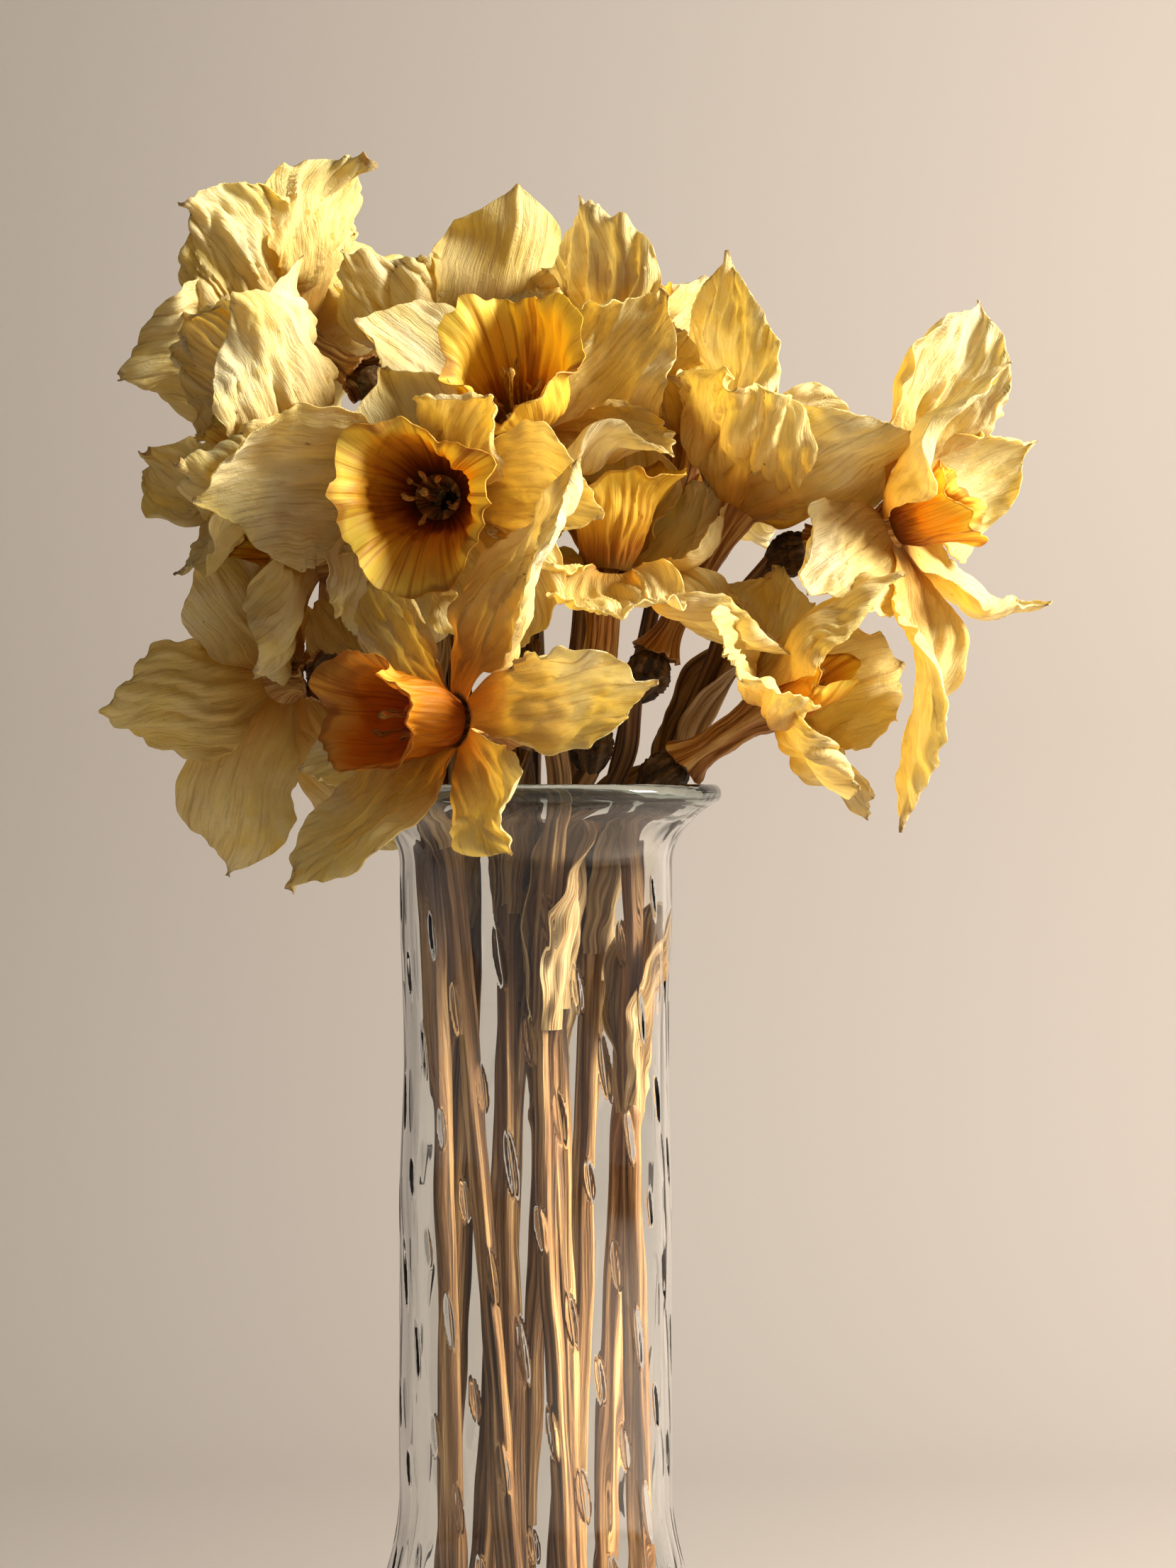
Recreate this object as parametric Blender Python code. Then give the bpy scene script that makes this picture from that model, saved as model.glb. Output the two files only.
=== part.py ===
"""A bunch of dried daffodils standing in a clear glass vase.

The frame: origin at the centre of the vase's flat base, +Z up, -Y towards the side that shows the
most open flowers, +X to its right. Lengths are in metres and angles in degrees. Flower heads are
placed from the centre of the vase's rim, so they follow the vase's height.
"""

import math

import bpy
import numpy as np
from mathutils import Matrix, Vector
from mathutils.bvhtree import BVHTree

# Vase: one blown piece, turned about Z.
VASE_HEIGHT = 0.225
BASE_RADIUS = 0.029
BELLY_RADIUS = 0.039
BELLY_HEIGHT = 0.030
SHOULDER_LENGTH = 0.052  # from the belly up to where the neck has thinned
NECK_RADIUS = 0.0278
WAIST_DEPTH = 0.0007  # how far the neck draws in below the flare
WAIST_DROP = 0.055  # below the rim
WAIST_REACH = 0.032
FLARE_LENGTH = 0.0125  # from the straight neck up to the underside of the lip
RIM_RADIUS = 0.0379
LIP_THICKNESS = 0.0038
LIP_OVERHANG = 0.0014
WALL = 0.0022
FLOOR = 0.006
VASE_SIDES = 36

# One daffodil. Its throat is where the tepals leave the floral tube.
STEM_RADIUS = 0.0023
PEDICEL_RADIUS = 0.0019
OVARY_RADIUS = 0.0041
OVARY_LENGTH = 0.0095
COLLAR_RADIUS = 0.0044
TUBE_RADIUS = 0.0029
THROAT_RADIUS = 0.0052
TEPAL_LENGTH = 0.037
TEPAL_WIDTH = 0.025
TEPAL_CUP = 40.0  # how far each half of a tepal turns up across its width
SHEET = 0.0006  # thickness of tepals, coronas and spathes
CORONA_FOOT = THROAT_RADIUS - SHEET  # radius of the corona where it leaves the throat
GAP = 0.0003  # clearance between pieces that touch
CORONA_LIFT = SHEET + GAP + 0.0002  # how far above the throat it starts
TEPAL_ROOM = 0.0004  # clearance that a tepal keeps to everything it passes
SPATHE_LENGTH = 0.040
SPATHE_FOOT_ROOM = 0.0004
SPATHE_MOUTH_RADIUS = 0.0042
SPATHE_MOUTH_ROOM = 0.004  # kept between the spathe's mouth and the ovary
SPATHE_WRAP = (300.0, 200.0)  # degrees round the stem at its foot and at its mouth
SPATHE_COLUMNS = 4
SPATHE_ROWS = 4

STEM_SIDES = 6
TEPALS = 6
ACROSS = 2  # quads across a tepal
ALONG = (0.0, 0.2, 0.42, 0.66, 0.86, 1.0)  # rows of a tepal, root to tip
NECK_DEPTH = 0.045  # below the rim, where the stems are closest together
STEM_TURN = 38.0  # the bundle turns this far between the neck and the feet
FOOT_SPREAD = 1.12
STEM_ROOM = 0.0010  # clearance that a stem keeps while the bunch settles
CHANNEL = (0.0125, -0.0125)  # a way down the neck that the stems leave free
CHANNEL_RADIUS = 0.0050
LINE_STEP = 0.006  # between the points of a stem's middle line
HELD_POINTS = 2  # points behind the ovary that stay as the flower holds them
SETTLE_ROUNDS = 200
STIFFNESS = 0.30  # how strongly a stem straightens in each round

# Each flower: throat from the rim's centre, the way it faces (azimuth 0 is -Y, 90 is +X; elevation
# above the horizon), where its stem passes the neck as a share of the room there, its floral tube,
# its corona (length, rim radius, squeeze) and its six tepals (spread from the axis, curl, twist and
# reach), clockwise from the top as seen by someone facing the flower. Earlier rows get their wish.
FLOWERS = {
    4: dict(throat=(-0.0185, -0.026, 0.056), faces=(-7, -3), neck=(-0.31, -0.16), tube=0.017,
            corona=(0.022, 0.0145, 0.95), spathe=0.088, roll=32,
            tepals=[(100, -10, 10, 0.6), (62, 14, 14, 0.8), (88, -18, -12, 0.75),
                    (92, -20, 10, 0.75), (84, 18, 30, 1.1), (104, -10, 0, 0.6)]),
    3: dict(throat=(-0.003, -0.008, 0.071), faces=(-4, 32), neck=(-0.14, 0.92), tube=0.018,
            corona=(0.021, 0.0150, 1.0), spathe=0.104, roll=0,
            tepals=[(88, -25, 10, 0.9), (80, 30, -25, 0.9), (84, 40, 40, 0.85),
                    (118, -10, 15, 0.6), (96, 20, 30, 0.85), (76, 15, 0, 0.9)]),
    7: dict(throat=(0.0145, -0.012, 0.0425), faces=(28, 80), neck=(0.20, -0.42), tube=0.030,
            corona=(0.019, 0.0112, 1.0), spathe=0.050, roll=20,
            tepals=[(48, 35, 30, 0.8), (60, 30, -30, 0.7), (132, 45, 12, 0.95),
                    (112, 20, -20, 0.7), (80, 40, 30, 0.7), (58, -10, 15, 0.8)]),
    8: dict(throat=(0.040, 0.002, 0.056), faces=(101, 62), neck=(0.46, 0.08), tube=0.033,
            corona=(0.018, 0.0112, 0.7), spathe=0.054, roll=-10,
            tepals=[(36, 8, -8, 1.25), (62, 20, 45, 1.05), (70, 10, 10, 0.9),
                    (80, 20, 10, 0.8), (62, 12, 10, 1.0), (44, -25, 12, 1.0)]),
    9: dict(throat=(0.073, 0.000, 0.053), faces=(62, 14), neck=(0.88, 0.26), tube=0.018,
            corona=(0.015, 0.0100, 0.7), spathe=0.058, roll=10,
            tepals=[(62, 40, 50, 1.15), (70, 60, -50, 1.0), (84, 60, 60, 0.95),
                    (80, -42, 40, 1.5), (108, -10, -40, 0.75), (92, 30, 40, 1.1)]),
    10: dict(throat=(0.0465, -0.012, 0.0152), faces=(75, 33), neck=(0.86, -0.46), tube=0.020,
             corona=(0.015, 0.0092, 0.7), spathe=0.066, roll=-25,
             tepals=[(60, 5, 10, 1.0), (72, 25, 30, 0.8), (60, 40, -30, 0.9),
                     (88, 30, 20, 0.65), (80, 30, 10, 0.65), (80, 15, -10, 0.8)]),
    6: dict(throat=(-0.0145, -0.045, 0.0120), faces=(-52, 2), neck=(-0.04, -0.84), tube=0.013,
            corona=(0.019, 0.0130, 0.8), spathe=0.062, roll=15,
            tepals=[(108, 8, 10, 1.25), (112, 10, -20, 1.1), (95, 40, 20, 0.8),
                    (62, 42, 12, 1.05), (80, 20, -10, 0.85), (100, 10, 10, 0.9)]),
    5: dict(throat=(-0.052, 0.010, 0.022), faces=(-148, 2), neck=(-0.60, -0.72), tube=0.017,
            corona=(0.020, 0.0120, 0.9), spathe=0.040, roll=-14,
            tepals=[(88, 8, 5, 0.95), (96, -6, -8, 0.7), (92, 4, 8, 0.9),
                    (90, 10, -5, 1.0), (94, -8, 5, 1.25), (86, 12, 10, 1.05)]),
    11: dict(throat=(-0.046, -0.006, 0.064), faces=(-77, 40), neck=(-0.92, -0.18), tube=0.016,
             corona=(0.019, 0.0110, 0.7), spathe=0.050, roll=8,
             tepals=[(40, 12, 10, 1.0), (52, 20, 15, 1.05), (78, 25, -10, 0.85),
                     (95, 10, 12, 0.75), (60, 25, 10, 1.05), (54, -5, -10, 1.1)]),
    1: dict(throat=(-0.051, 0.026, 0.094), faces=(-128, 26), neck=(-0.62, 0.66), tube=0.021,
            corona=(0.021, 0.0120, 0.8), spathe=0.070, roll=-8,
            tepals=[(76, 5, -5, 0.95), (84, 20, 10, 0.95), (80, 15, -8, 0.9),
                    (92, -15, 12, 0.8), (84, 10, 10, 0.95), (78, -8, 5, 1.0)]),
    2: dict(throat=(-0.0145, 0.0265, 0.0885), faces=(-135, 72), neck=(-0.26, 0.40), tube=0.021,
            corona=(0.019, 0.0115, 0.8), spathe=0.070, roll=15,
            tepals=[(52, 25, 10, 0.95), (60, 30, -15, 0.9), (75, 30, 30, 0.8),
                    (66, 35, -10, 0.85), (45, 30, 12, 1.0), (70, 10, 15, 0.9)]),
    13: dict(throat=(0.015, 0.014, 0.083), faces=(150, 76), neck=(0.12, 0.46), tube=0.021,
             corona=(0.019, 0.0115, 0.8), spathe=0.122, roll=0,
             tepals=[(60, 25, 45, 0.95), (82, 30, -30, 0.95), (95, 20, 20, 0.8),
                     (80, 30, 20, 0.8), (66, 40, -25, 0.85), (55, 25, 30, 0.8)]),
    12: dict(throat=(-0.044, 0.010, 0.047), faces=(-104, 2), neck=(-0.80, 0.32), tube=0.016,
             corona=(0.015, 0.0095, 0.75), spathe=0.078, roll=5,
             tepals=[(80, 20, -12, 0.85), (100, 10, 20, 0.8), (85, -10, 10, 0.85),
                     (98, 20, -20, 0.8), (88, 25, 12, 0.85), (105, 10, 25, 0.8)]),
    14: dict(throat=(0.032, 0.025, 0.071), faces=(160, 56), neck=(0.58, 0.66), tube=0.016,
             corona=(0.018, 0.0110, 0.8), spathe=0.092, roll=12,
             tepals=[(80, 15, 15, 0.9), (92, 10, -20, 0.9), (86, 25, 10, 0.95),
                     (95, 5, 15, 0.85), (80, 20, -12, 0.9), (90, 10, 20, 0.85)]),
}

# A tepal that would touch something bends by these steps, and shrivels only when bending fails.
SPREAD_STEPS = (0, 10, -10, 20, -20, 32, -32)
CURL_STEPS = (0, 28, -28, 50)
REACH_STEPS = (1.0, 0.84, 0.68, 0.52, 0.38)
SHRIVELLED = (50, 0, 0, 0.24)

FINISHES = {  # colour, roughness, metallic, alpha
    "glass": ((0.90, 0.92, 0.90), 0.05, 0.0, 0.30),
    "stem": ((0.46, 0.29, 0.12), 0.75, 0.0, 1.0),
    "spathe": ((0.55, 0.42, 0.28), 0.80, 0.0, 1.0),
    "tepal": ((0.90, 0.78, 0.46), 0.70, 0.0, 1.0),
    "corona": ((0.78, 0.42, 0.07), 0.70, 0.0, 1.0),
}


def clear_scene():
    for obj in list(bpy.data.objects):
        bpy.data.objects.remove(obj)


def material(name):
    if name in bpy.data.materials:
        return bpy.data.materials[name]
    colour, roughness, metallic, alpha = FINISHES[name]
    made = bpy.data.materials.new(name)
    made.use_nodes = True
    shader = made.node_tree.nodes["Principled BSDF"]
    shader.inputs["Base Color"].default_value = (*colour, 1.0)
    shader.inputs["Roughness"].default_value = roughness
    shader.inputs["Metallic"].default_value = metallic
    shader.inputs["Alpha"].default_value = alpha
    return made


def add_object(name, points, faces, finish, parent, place=None):
    """A named object from points in its own frame, standing at place under its parent."""
    mesh = bpy.data.meshes.new(name)
    mesh.from_pydata([tuple(p) for p in points], [], faces)
    mesh.materials.append(material(finish))
    mesh.update()
    mesh.shade_smooth()
    obj = bpy.data.objects.new(name, mesh)
    bpy.context.scene.collection.objects.link(obj)
    obj.parent = parent
    if place:
        obj.location = place.to_translation()
        obj.rotation_euler = place.to_euler()
    return obj


def mix(a, b, share):
    return a + (b - a) * share


def smooth(share):
    return share * share * (3 - 2 * share)


def read_curve(knots, at):
    """Value at a place along (place, value) knots, eased between them."""
    for (start, low), (end, high) in zip(knots, knots[1:]):
        if at <= end:
            return mix(low, high, smooth(max(0.0, (at - start) / (end - start))))
    return knots[-1][1]


# Vase


def outside_radius(height):
    """Outside radius of the vase between its heel and the underside of its lip."""
    lip_under = VASE_HEIGHT - LIP_THICKNESS
    neck_foot = BELLY_HEIGHT + SHOULDER_LENGTH
    neck_top = lip_under - FLARE_LENGTH
    if height < BELLY_HEIGHT:
        turn = 1 - height / BELLY_HEIGHT
        return mix(BASE_RADIUS, BELLY_RADIUS, math.sqrt(max(0.0, 1 - turn * turn)))
    if height < neck_foot:
        return mix(BELLY_RADIUS, NECK_RADIUS, smooth((height - BELLY_HEIGHT) / SHOULDER_LENGTH))
    if height < neck_top:
        from_waist = abs(height - (VASE_HEIGHT - WAIST_DROP)) / WAIST_REACH
        return NECK_RADIUS - WAIST_DEPTH * smooth(max(0.0, 1 - from_waist))
    share = min(1.0, (height - neck_top) / FLARE_LENGTH)
    return mix(NECK_RADIUS, RIM_RADIUS - LIP_OVERHANG, share**2.2)


def inside_radius(height):
    return outside_radius(height) - WALL


def vase_outline():
    """(radius, height) from the base's centre up the outside and down the inside."""
    neck_foot = BELLY_HEIGHT + SHOULDER_LENGTH
    lip_under = VASE_HEIGHT - LIP_THICKNESS
    neck_top = lip_under - FLARE_LENGTH
    heel = [BELLY_HEIGHT * share for share in (0.0, 0.05, 0.2, 0.5, 1.0)]
    shoulder = [BELLY_HEIGHT + SHOULDER_LENGTH * share for share in (0.25, 0.5, 0.75, 1.0)]
    neck = [mix(neck_foot, neck_top, share) for share in (0.4, 0.7, 0.85, 1.0)]
    flare = [neck_top + FLARE_LENGTH * share for share in (0.35, 0.65, 0.85, 1.0)]
    heights = heel + shoulder + neck + flare
    outside = [(0.0, 0.0)] + [(outside_radius(h), h) for h in heights]
    lip = [(RIM_RADIUS, lip_under + 0.0003), (RIM_RADIUS, VASE_HEIGHT - 0.0004),
           (RIM_RADIUS - 0.0005, VASE_HEIGHT), (inside_radius(lip_under), VASE_HEIGHT)]
    inside = [(inside_radius(h), h) for h in reversed(heights) if h > FLOOR * 1.2]
    floor = [(inside_radius(FLOOR), FLOOR), (0.0, FLOOR)]
    return outside + lip + inside + floor


def turned(outline, sides):
    """Points and faces of an outline turned about Z, with its ends on the axis."""
    points, rings, faces = [], [], []
    for radius, height in outline:
        if radius == 0.0:
            rings.append([len(points)])
            points.append(Vector((0.0, 0.0, height)))
            continue
        rings.append([len(points) + i for i in range(sides)])
        for i in range(sides):
            turn = math.tau * i / sides
            points.append(Vector((radius * math.cos(turn), radius * math.sin(turn), height)))
    for low, high in zip(rings, rings[1:]):
        for i in range(sides):
            j = (i + 1) % sides
            corners = [low[i % len(low)], low[j % len(low)], high[j % len(high)], high[i % len(high)]]
            faces.append(list(dict.fromkeys(corners)))
    return points, faces


# Sheets: a middle surface of quads, thickened to a closed solid.


def thickened(points, quads, half):
    """Closed solid around a middle surface: both sides, and a wall along each free edge."""
    normals = [Vector() for _ in points]
    uses = {}
    for quad in quads:
        a, b, c, d = (points[i] for i in quad)
        normal = (c - a).cross(d - b)
        for i in quad:
            normals[i] += normal
        for i, j in zip(quad, quad[1:] + quad[:1]):
            uses[(i, j)] = uses.get((i, j), 0) + 1
    offsets = [n.normalized() * half for n in normals]
    n = len(points)
    both = [p + o for p, o in zip(points, offsets)] + [p - o for p, o in zip(points, offsets)]
    faces = [list(q) for q in quads] + [[i + n for i in reversed(q)] for q in quads]
    faces += [[j, i, i + n, j + n] for i, j in uses if (j, i) not in uses]
    return both, faces


def grid_quads(columns, rows, first=0):
    """Quads of a grid whose points run across each row, row by row."""
    at = lambda row, column: first + row * (columns + 1) + column
    return [[at(r, c), at(r, c + 1), at(r + 1, c + 1), at(r + 1, c)]
            for r in range(rows) for c in range(columns)]


# Flower


def facing(azimuth, elevation):
    turn, rise = math.radians(azimuth), math.radians(elevation)
    return Vector((math.sin(turn) * math.cos(rise), -math.cos(turn) * math.cos(rise), math.sin(rise)))


def seat(flower):
    """The flower's own frame: origin at its throat, Z the way it faces, Y its upper side."""
    axis = facing(*flower["faces"])
    throat = Vector(flower["throat"]) + Vector((0, 0, VASE_HEIGHT))
    across = Vector((0, 0, 1)).cross(axis).normalized()
    upper = axis.cross(across)
    frame = Matrix((across, upper, axis)).transposed().to_4x4()
    return Matrix.Translation(throat) @ frame


def width_at(along):
    """Width of a tepal as a share of its widest."""
    return read_curve(((0.0, 0.27), (0.2, 0.58), (0.5, 1.0), (0.66, 0.97), (0.86, 0.58), (1.0, 0.05)), along)


def tepal_row(bearing, spread, curl, twist, reach, along):
    """Root-to-tip place of one row of a tepal: its middle, and its directions across and out."""
    length = TEPAL_LENGTH * reach
    start, bend = math.radians(spread), math.radians(curl) or 1e-6
    tilt = start - bend * along
    radial = THROAT_RADIUS + length * (math.cos(tilt) - math.cos(start)) / bend
    axial = length * (math.sin(start) - math.sin(tilt)) / bend
    turn = math.radians(bearing)
    out = Vector((math.sin(turn), math.cos(turn), 0.0))
    side = Vector((math.cos(turn), -math.sin(turn), 0.0))
    face = out * -math.cos(tilt) + Vector((0, 0, math.sin(tilt)))
    roll = math.radians(twist) * along
    middle = out * radial + Vector((0, 0, axial))
    return middle, side * math.cos(roll) + face * math.sin(roll), face * math.cos(roll) - side * math.sin(roll)


def tepal_points(bearing, wish, fold):
    """Middle-surface points of a tepal past its root, row by row."""
    spread, curl, twist, reach = wish
    spread_step, curl_step, reach_step = fold
    cup = math.radians(TEPAL_CUP)
    points = []
    for along in ALONG[1:]:
        middle, side, face = tepal_row(bearing, spread + spread_step, curl + curl_step, twist,
                                       reach * reach_step, along)
        half = 0.5 * TEPAL_WIDTH * width_at(along) * min(1.0, 0.35 + 0.65 * reach * reach_step)
        for column in range(ACROSS + 1):
            bow = cup * (2 * column / ACROSS - 1)
            points.append(middle + side * (half * math.sin(bow) / cup)
                          + face * (half * (1 - math.cos(bow)) / cup))
    return points


def folds():
    return [(spread, curl, reach) for reach in REACH_STEPS for curl in CURL_STEPS for spread in SPREAD_STEPS]


def bearings(flower):
    return [flower["roll"] + 360.0 / TEPALS * k for k in range(TEPALS)]


def throat_ring(flower):
    """Points of the throat, two to each tepal, starting at the first tepal's left corner."""
    step = 360.0 / (TEPALS * ACROSS)
    turns = [math.radians(flower["roll"] + step * (i - ACROSS / 2)) for i in range(TEPALS * ACROSS)]
    return [Vector((math.sin(t), math.cos(t), 0.0)) for t in turns]


def tube_rings(flower):
    """Middle surface of the floral tube, collar to throat."""
    length = flower["tube"]
    outline = ((-length, COLLAR_RADIUS), (-length + 0.003, TUBE_RADIUS + 0.0003),
               (-length * 0.45, TUBE_RADIUS), (0.0, THROAT_RADIUS))
    return [[spoke * radius + Vector((0, 0, height)) for spoke in throat_ring(flower)]
            for height, radius in outline]


def tube_sheet(flower):
    """Points and quads of the floral tube's middle surface. Its last ring is the throat."""
    rings = tube_rings(flower)
    sides = len(rings[0])
    points = [p for ring in rings for p in ring]
    quads = [[r * sides + i, r * sides + (i + 1) % sides, (r + 1) * sides + (i + 1) % sides, (r + 1) * sides + i]
             for r in range(len(rings) - 1) for i in range(sides)]
    return points, quads


def perianth_sheet(flower, tepals):
    """The floral tube and its six tepals as one middle surface."""
    points, quads = tube_sheet(flower)
    sides = TEPALS * ACROSS
    first = len(points) - sides
    for k, tepal in enumerate(tepals):
        root = [first + (k * ACROSS + i) % sides for i in range(ACROSS + 1)]
        start = len(points)
        points += tepal
        quads += [[root[i], root[i + 1], start + i + 1, start + i] for i in range(ACROSS)]
        quads += grid_quads(ACROSS, len(ALONG) - 2, start)
    return points, quads


def corona_sheet(flower):
    """The trumpet: a sleeve that widens from the throat to a waved rim."""
    length, rim, squeeze = flower["corona"]
    sides = TEPALS * ACROSS
    points = []
    for share, part in ((0.0, 0.0), (0.45, 0.42), (0.85, 0.78), (1.0, 1.0)):
        radius = mix(CORONA_FOOT, rim, part)
        for i in range(sides):
            turn = math.tau * (i + 0.5) / sides
            wave = 1 + 0.05 * share * (-1) ** i
            flat = mix(1.0, squeeze, share)
            points.append(Vector((radius * wave * math.sin(turn), radius * wave * flat * math.cos(turn),
                                  CORONA_LIFT + length * share)))
    quads = [[r * sides + i, r * sides + (i + 1) % sides, (r + 1) * sides + (i + 1) % sides, (r + 1) * sides + i]
             for r in range(3) for i in range(sides)]
    return points, quads


# Stems


def neck_place(flower):
    """Where a stem passes the narrow part of the neck, inside the glass."""
    height = VASE_HEIGHT - NECK_DEPTH
    room = inside_radius(height) - SPATHE_MOUTH_RADIUS
    across, deep = flower["neck"]
    return Vector((across * room, deep * room, height))


def foot_place(flower):
    neck = neck_place(flower)
    turn = Matrix.Rotation(math.radians(STEM_TURN), 3, "Z")
    foot = turn @ Vector((neck.x, neck.y, 0.0)) * FOOT_SPREAD
    return foot + Vector((0, 0, FLOOR + GAP + STEM_RADIUS))


def ovary_base(flower):
    frame = seat(flower)
    return frame @ Vector((0, 0, -flower["tube"] - GAP * 2 - OVARY_LENGTH))


def first_line(flower):
    """A stem's middle line before it settles: from its foot through the neck to the flower."""
    foot, neck, top = foot_place(flower), neck_place(flower), ovary_base(flower)
    rise = (neck - foot).normalized()
    axis = facing(*flower["faces"])
    reach = (top - neck).length
    line = [foot, neck]
    for i in range(1, 41):
        t = i / 40
        line.append(neck * (2 * t**3 - 3 * t**2 + 1) + rise * reach * 0.9 * (t**3 - 2 * t**2 + t)
                    + top * (3 * t**2 - 2 * t**3) + axis * reach * 0.5 * (t**3 - t**2))
    return even(line)


def even(line):
    """The line again, with its points evenly spaced."""
    points = np.array([tuple(p) for p in line])
    far = np.concatenate(([0.0], np.cumsum(np.linalg.norm(np.diff(points, axis=0), axis=1))))
    places = np.linspace(0.0, far[-1], max(4, round(far[-1] / LINE_STEP)))
    return np.stack([np.interp(places, far, points[:, k]) for k in range(3)], axis=1)


def spathe_length(flower):
    return min(SPATHE_LENGTH, flower["spathe"] - SPATHE_MOUTH_ROOM)


def line_radii(flower, line):
    """Room that each point of a stem's line needs: wider where the spathe wraps it."""
    behind = (len(line) - 1 - np.arange(len(line))) * LINE_STEP
    wrapped = (behind < flower["spathe"] + 0.003) & (behind > flower["spathe"] - spathe_length(flower) - 0.002)
    wide = SPATHE_MOUTH_RADIUS / math.cos(math.radians(SPATHE_WRAP[1] / SPATHE_COLUMNS / 2)) + SHEET / 2
    return np.where(wrapped, wide, STEM_RADIUS)


def head_balls(flower):
    """Balls that fill a flower's ovary, tube and corona, as (centre, radius)."""
    frame = seat(flower)
    back = -flower["tube"] - GAP * 2 - OVARY_LENGTH
    length, rim, _ = flower["corona"]
    balls = [(back + OVARY_LENGTH * share, OVARY_RADIUS) for share in (0.4, 0.8)]
    balls += [(-flower["tube"] * share, COLLAR_RADIUS) for share in (1.0, 0.75, 0.5, 0.25, 0.0)]
    balls += [(CORONA_LIFT + length * share, mix(CORONA_FOOT, rim, share)) for share in (0.25, 0.5, 0.75, 1.0)]
    return [(frame @ Vector((0, 0, height)), radius) for height, radius in balls]


def fixtures():
    """What the stems settle against, as rows of x, y, z, radius and the flower it belongs to."""
    rows = []
    for number, flower in FLOWERS.items():
        rows += [(*centre, radius, number) for centre, radius in head_balls(flower)]
    lip = RIM_RADIUS - LIP_THICKNESS * 0.5
    for i in range(60):
        turn = math.tau * i / 60
        rows.append((lip * math.cos(turn), lip * math.sin(turn), VASE_HEIGHT - LIP_THICKNESS * 0.5,
                     LIP_THICKNESS * 0.6, 0))
    steps = int((VASE_HEIGHT - FLOOR) / LINE_STEP)
    rows += [(*CHANNEL, FLOOR + LINE_STEP * i, CHANNEL_RADIUS, 0) for i in range(steps)]
    return np.array(rows)


def settled_lines():
    """Every stem's middle line, pushed clear of the rest and kept inside the glass."""
    lines = {number: first_line(flower) for number, flower in FLOWERS.items()}
    ends = np.cumsum([0] + [len(line) for line in lines.values()])
    spans = list(zip(ends[:-1], ends[1:]))
    points = np.concatenate(list(lines.values()))
    radii = np.concatenate([line_radii(FLOWERS[number], line) for number, line in lines.items()])
    owners = np.concatenate([[number] * len(line) for number, line in lines.items()])
    fixed = fixtures()
    all_radii, all_owners = np.concatenate([radii, fixed[:, 3]]), np.concatenate([owners, fixed[:, 4]])
    need = (radii[:, None] + all_radii[None] + STEM_ROOM) * (owners[:, None] != all_owners[None])
    heights = np.linspace(FLOOR, VASE_HEIGHT, 200)
    walls = np.array([inside_radius(h) for h in heights])
    held = np.zeros(len(points), bool)
    for _, end in spans:
        held[end - HELD_POINTS:end] = True
    free = ~held[:, None]
    feet = [start for start, _ in spans]
    for turn in range(SETTLE_ROUNDS):
        if turn < SETTLE_ROUNDS - 6:
            for start, end in spans:
                part = points[start:end]
                part[1:-1] += STIFFNESS * ((part[:-2] + part[2:]) / 2 - part[1:-1]) * free[start + 1:end - 1]
                part[0] += STIFFNESS * (2 * part[1] - part[2] - part[0])
        away = points[:, None] - np.concatenate([points, fixed[:, :3]])[None]
        apart = np.maximum(np.linalg.norm(away, axis=2), 1e-6)
        short = np.maximum(need - apart, 0.0)
        push = np.einsum("ij,ijk->ik", short / apart * 0.35, away)
        push[held] = 0.0
        points += push
        points[feet, 2] = FLOOR + GAP + STEM_RADIUS
        wide = np.linalg.norm(points[:, :2], axis=1)
        room = np.interp(points[:, 2], heights, walls) - radii - STEM_ROOM * 0.6
        tight = (wide > room) & (points[:, 2] < VASE_HEIGHT - LIP_THICKNESS)
        points[tight, :2] *= (room[tight] / wide[tight])[:, None]
    return {number: [Vector(p) for p in points[start:end]] for number, (start, end) in zip(lines, spans)}


def frames_along(path):
    """A pair of cross directions at each point, turning no more than the path does."""
    ways = [(b - a).normalized() for a, b in zip(path, path[1:])]
    ways = [ways[0]] + [(a + b).normalized() for a, b in zip(ways, ways[1:])] + [ways[-1]]
    side = ways[0].orthogonal().normalized()
    found = []
    for way in ways:
        side = (side - way * side.dot(way)).normalized()
        found.append((side, way.cross(side)))
    return found


def swept(path, radii, sides):
    points, faces = [], []
    for at, (side, deep), radius in zip(path, frames_along(path), radii):
        for i in range(sides):
            turn = math.tau * i / sides
            points.append(at + (side * math.cos(turn) + deep * math.sin(turn)) * radius)
    for r in range(len(path) - 1):
        for i in range(sides):
            j = (i + 1) % sides
            faces.append([r * sides + i, r * sides + j, (r + 1) * sides + j, (r + 1) * sides + i])
    faces.append(list(reversed(range(sides))))
    faces.append([(len(path) - 1) * sides + i for i in range(sides)])
    return points, faces


def stem_solid(flower, line):
    """The stem with its ovary, which sits just behind the floral tube."""
    path = line[:-1:2] + line[-1:]
    radii = [mix(STEM_RADIUS, PEDICEL_RADIUS, smooth(i / (len(path) - 1))) for i in range(len(path))]
    axis = facing(*flower["faces"])
    for share, radius in ((0.3, 0.86), (0.62, 1.0), (0.88, 0.84), (1.0, 0.5)):
        path.append(ovary_base(flower) + axis * OVARY_LENGTH * share)
        radii.append(OVARY_RADIUS * radius)
    return swept(path, radii, STEM_SIDES)


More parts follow.
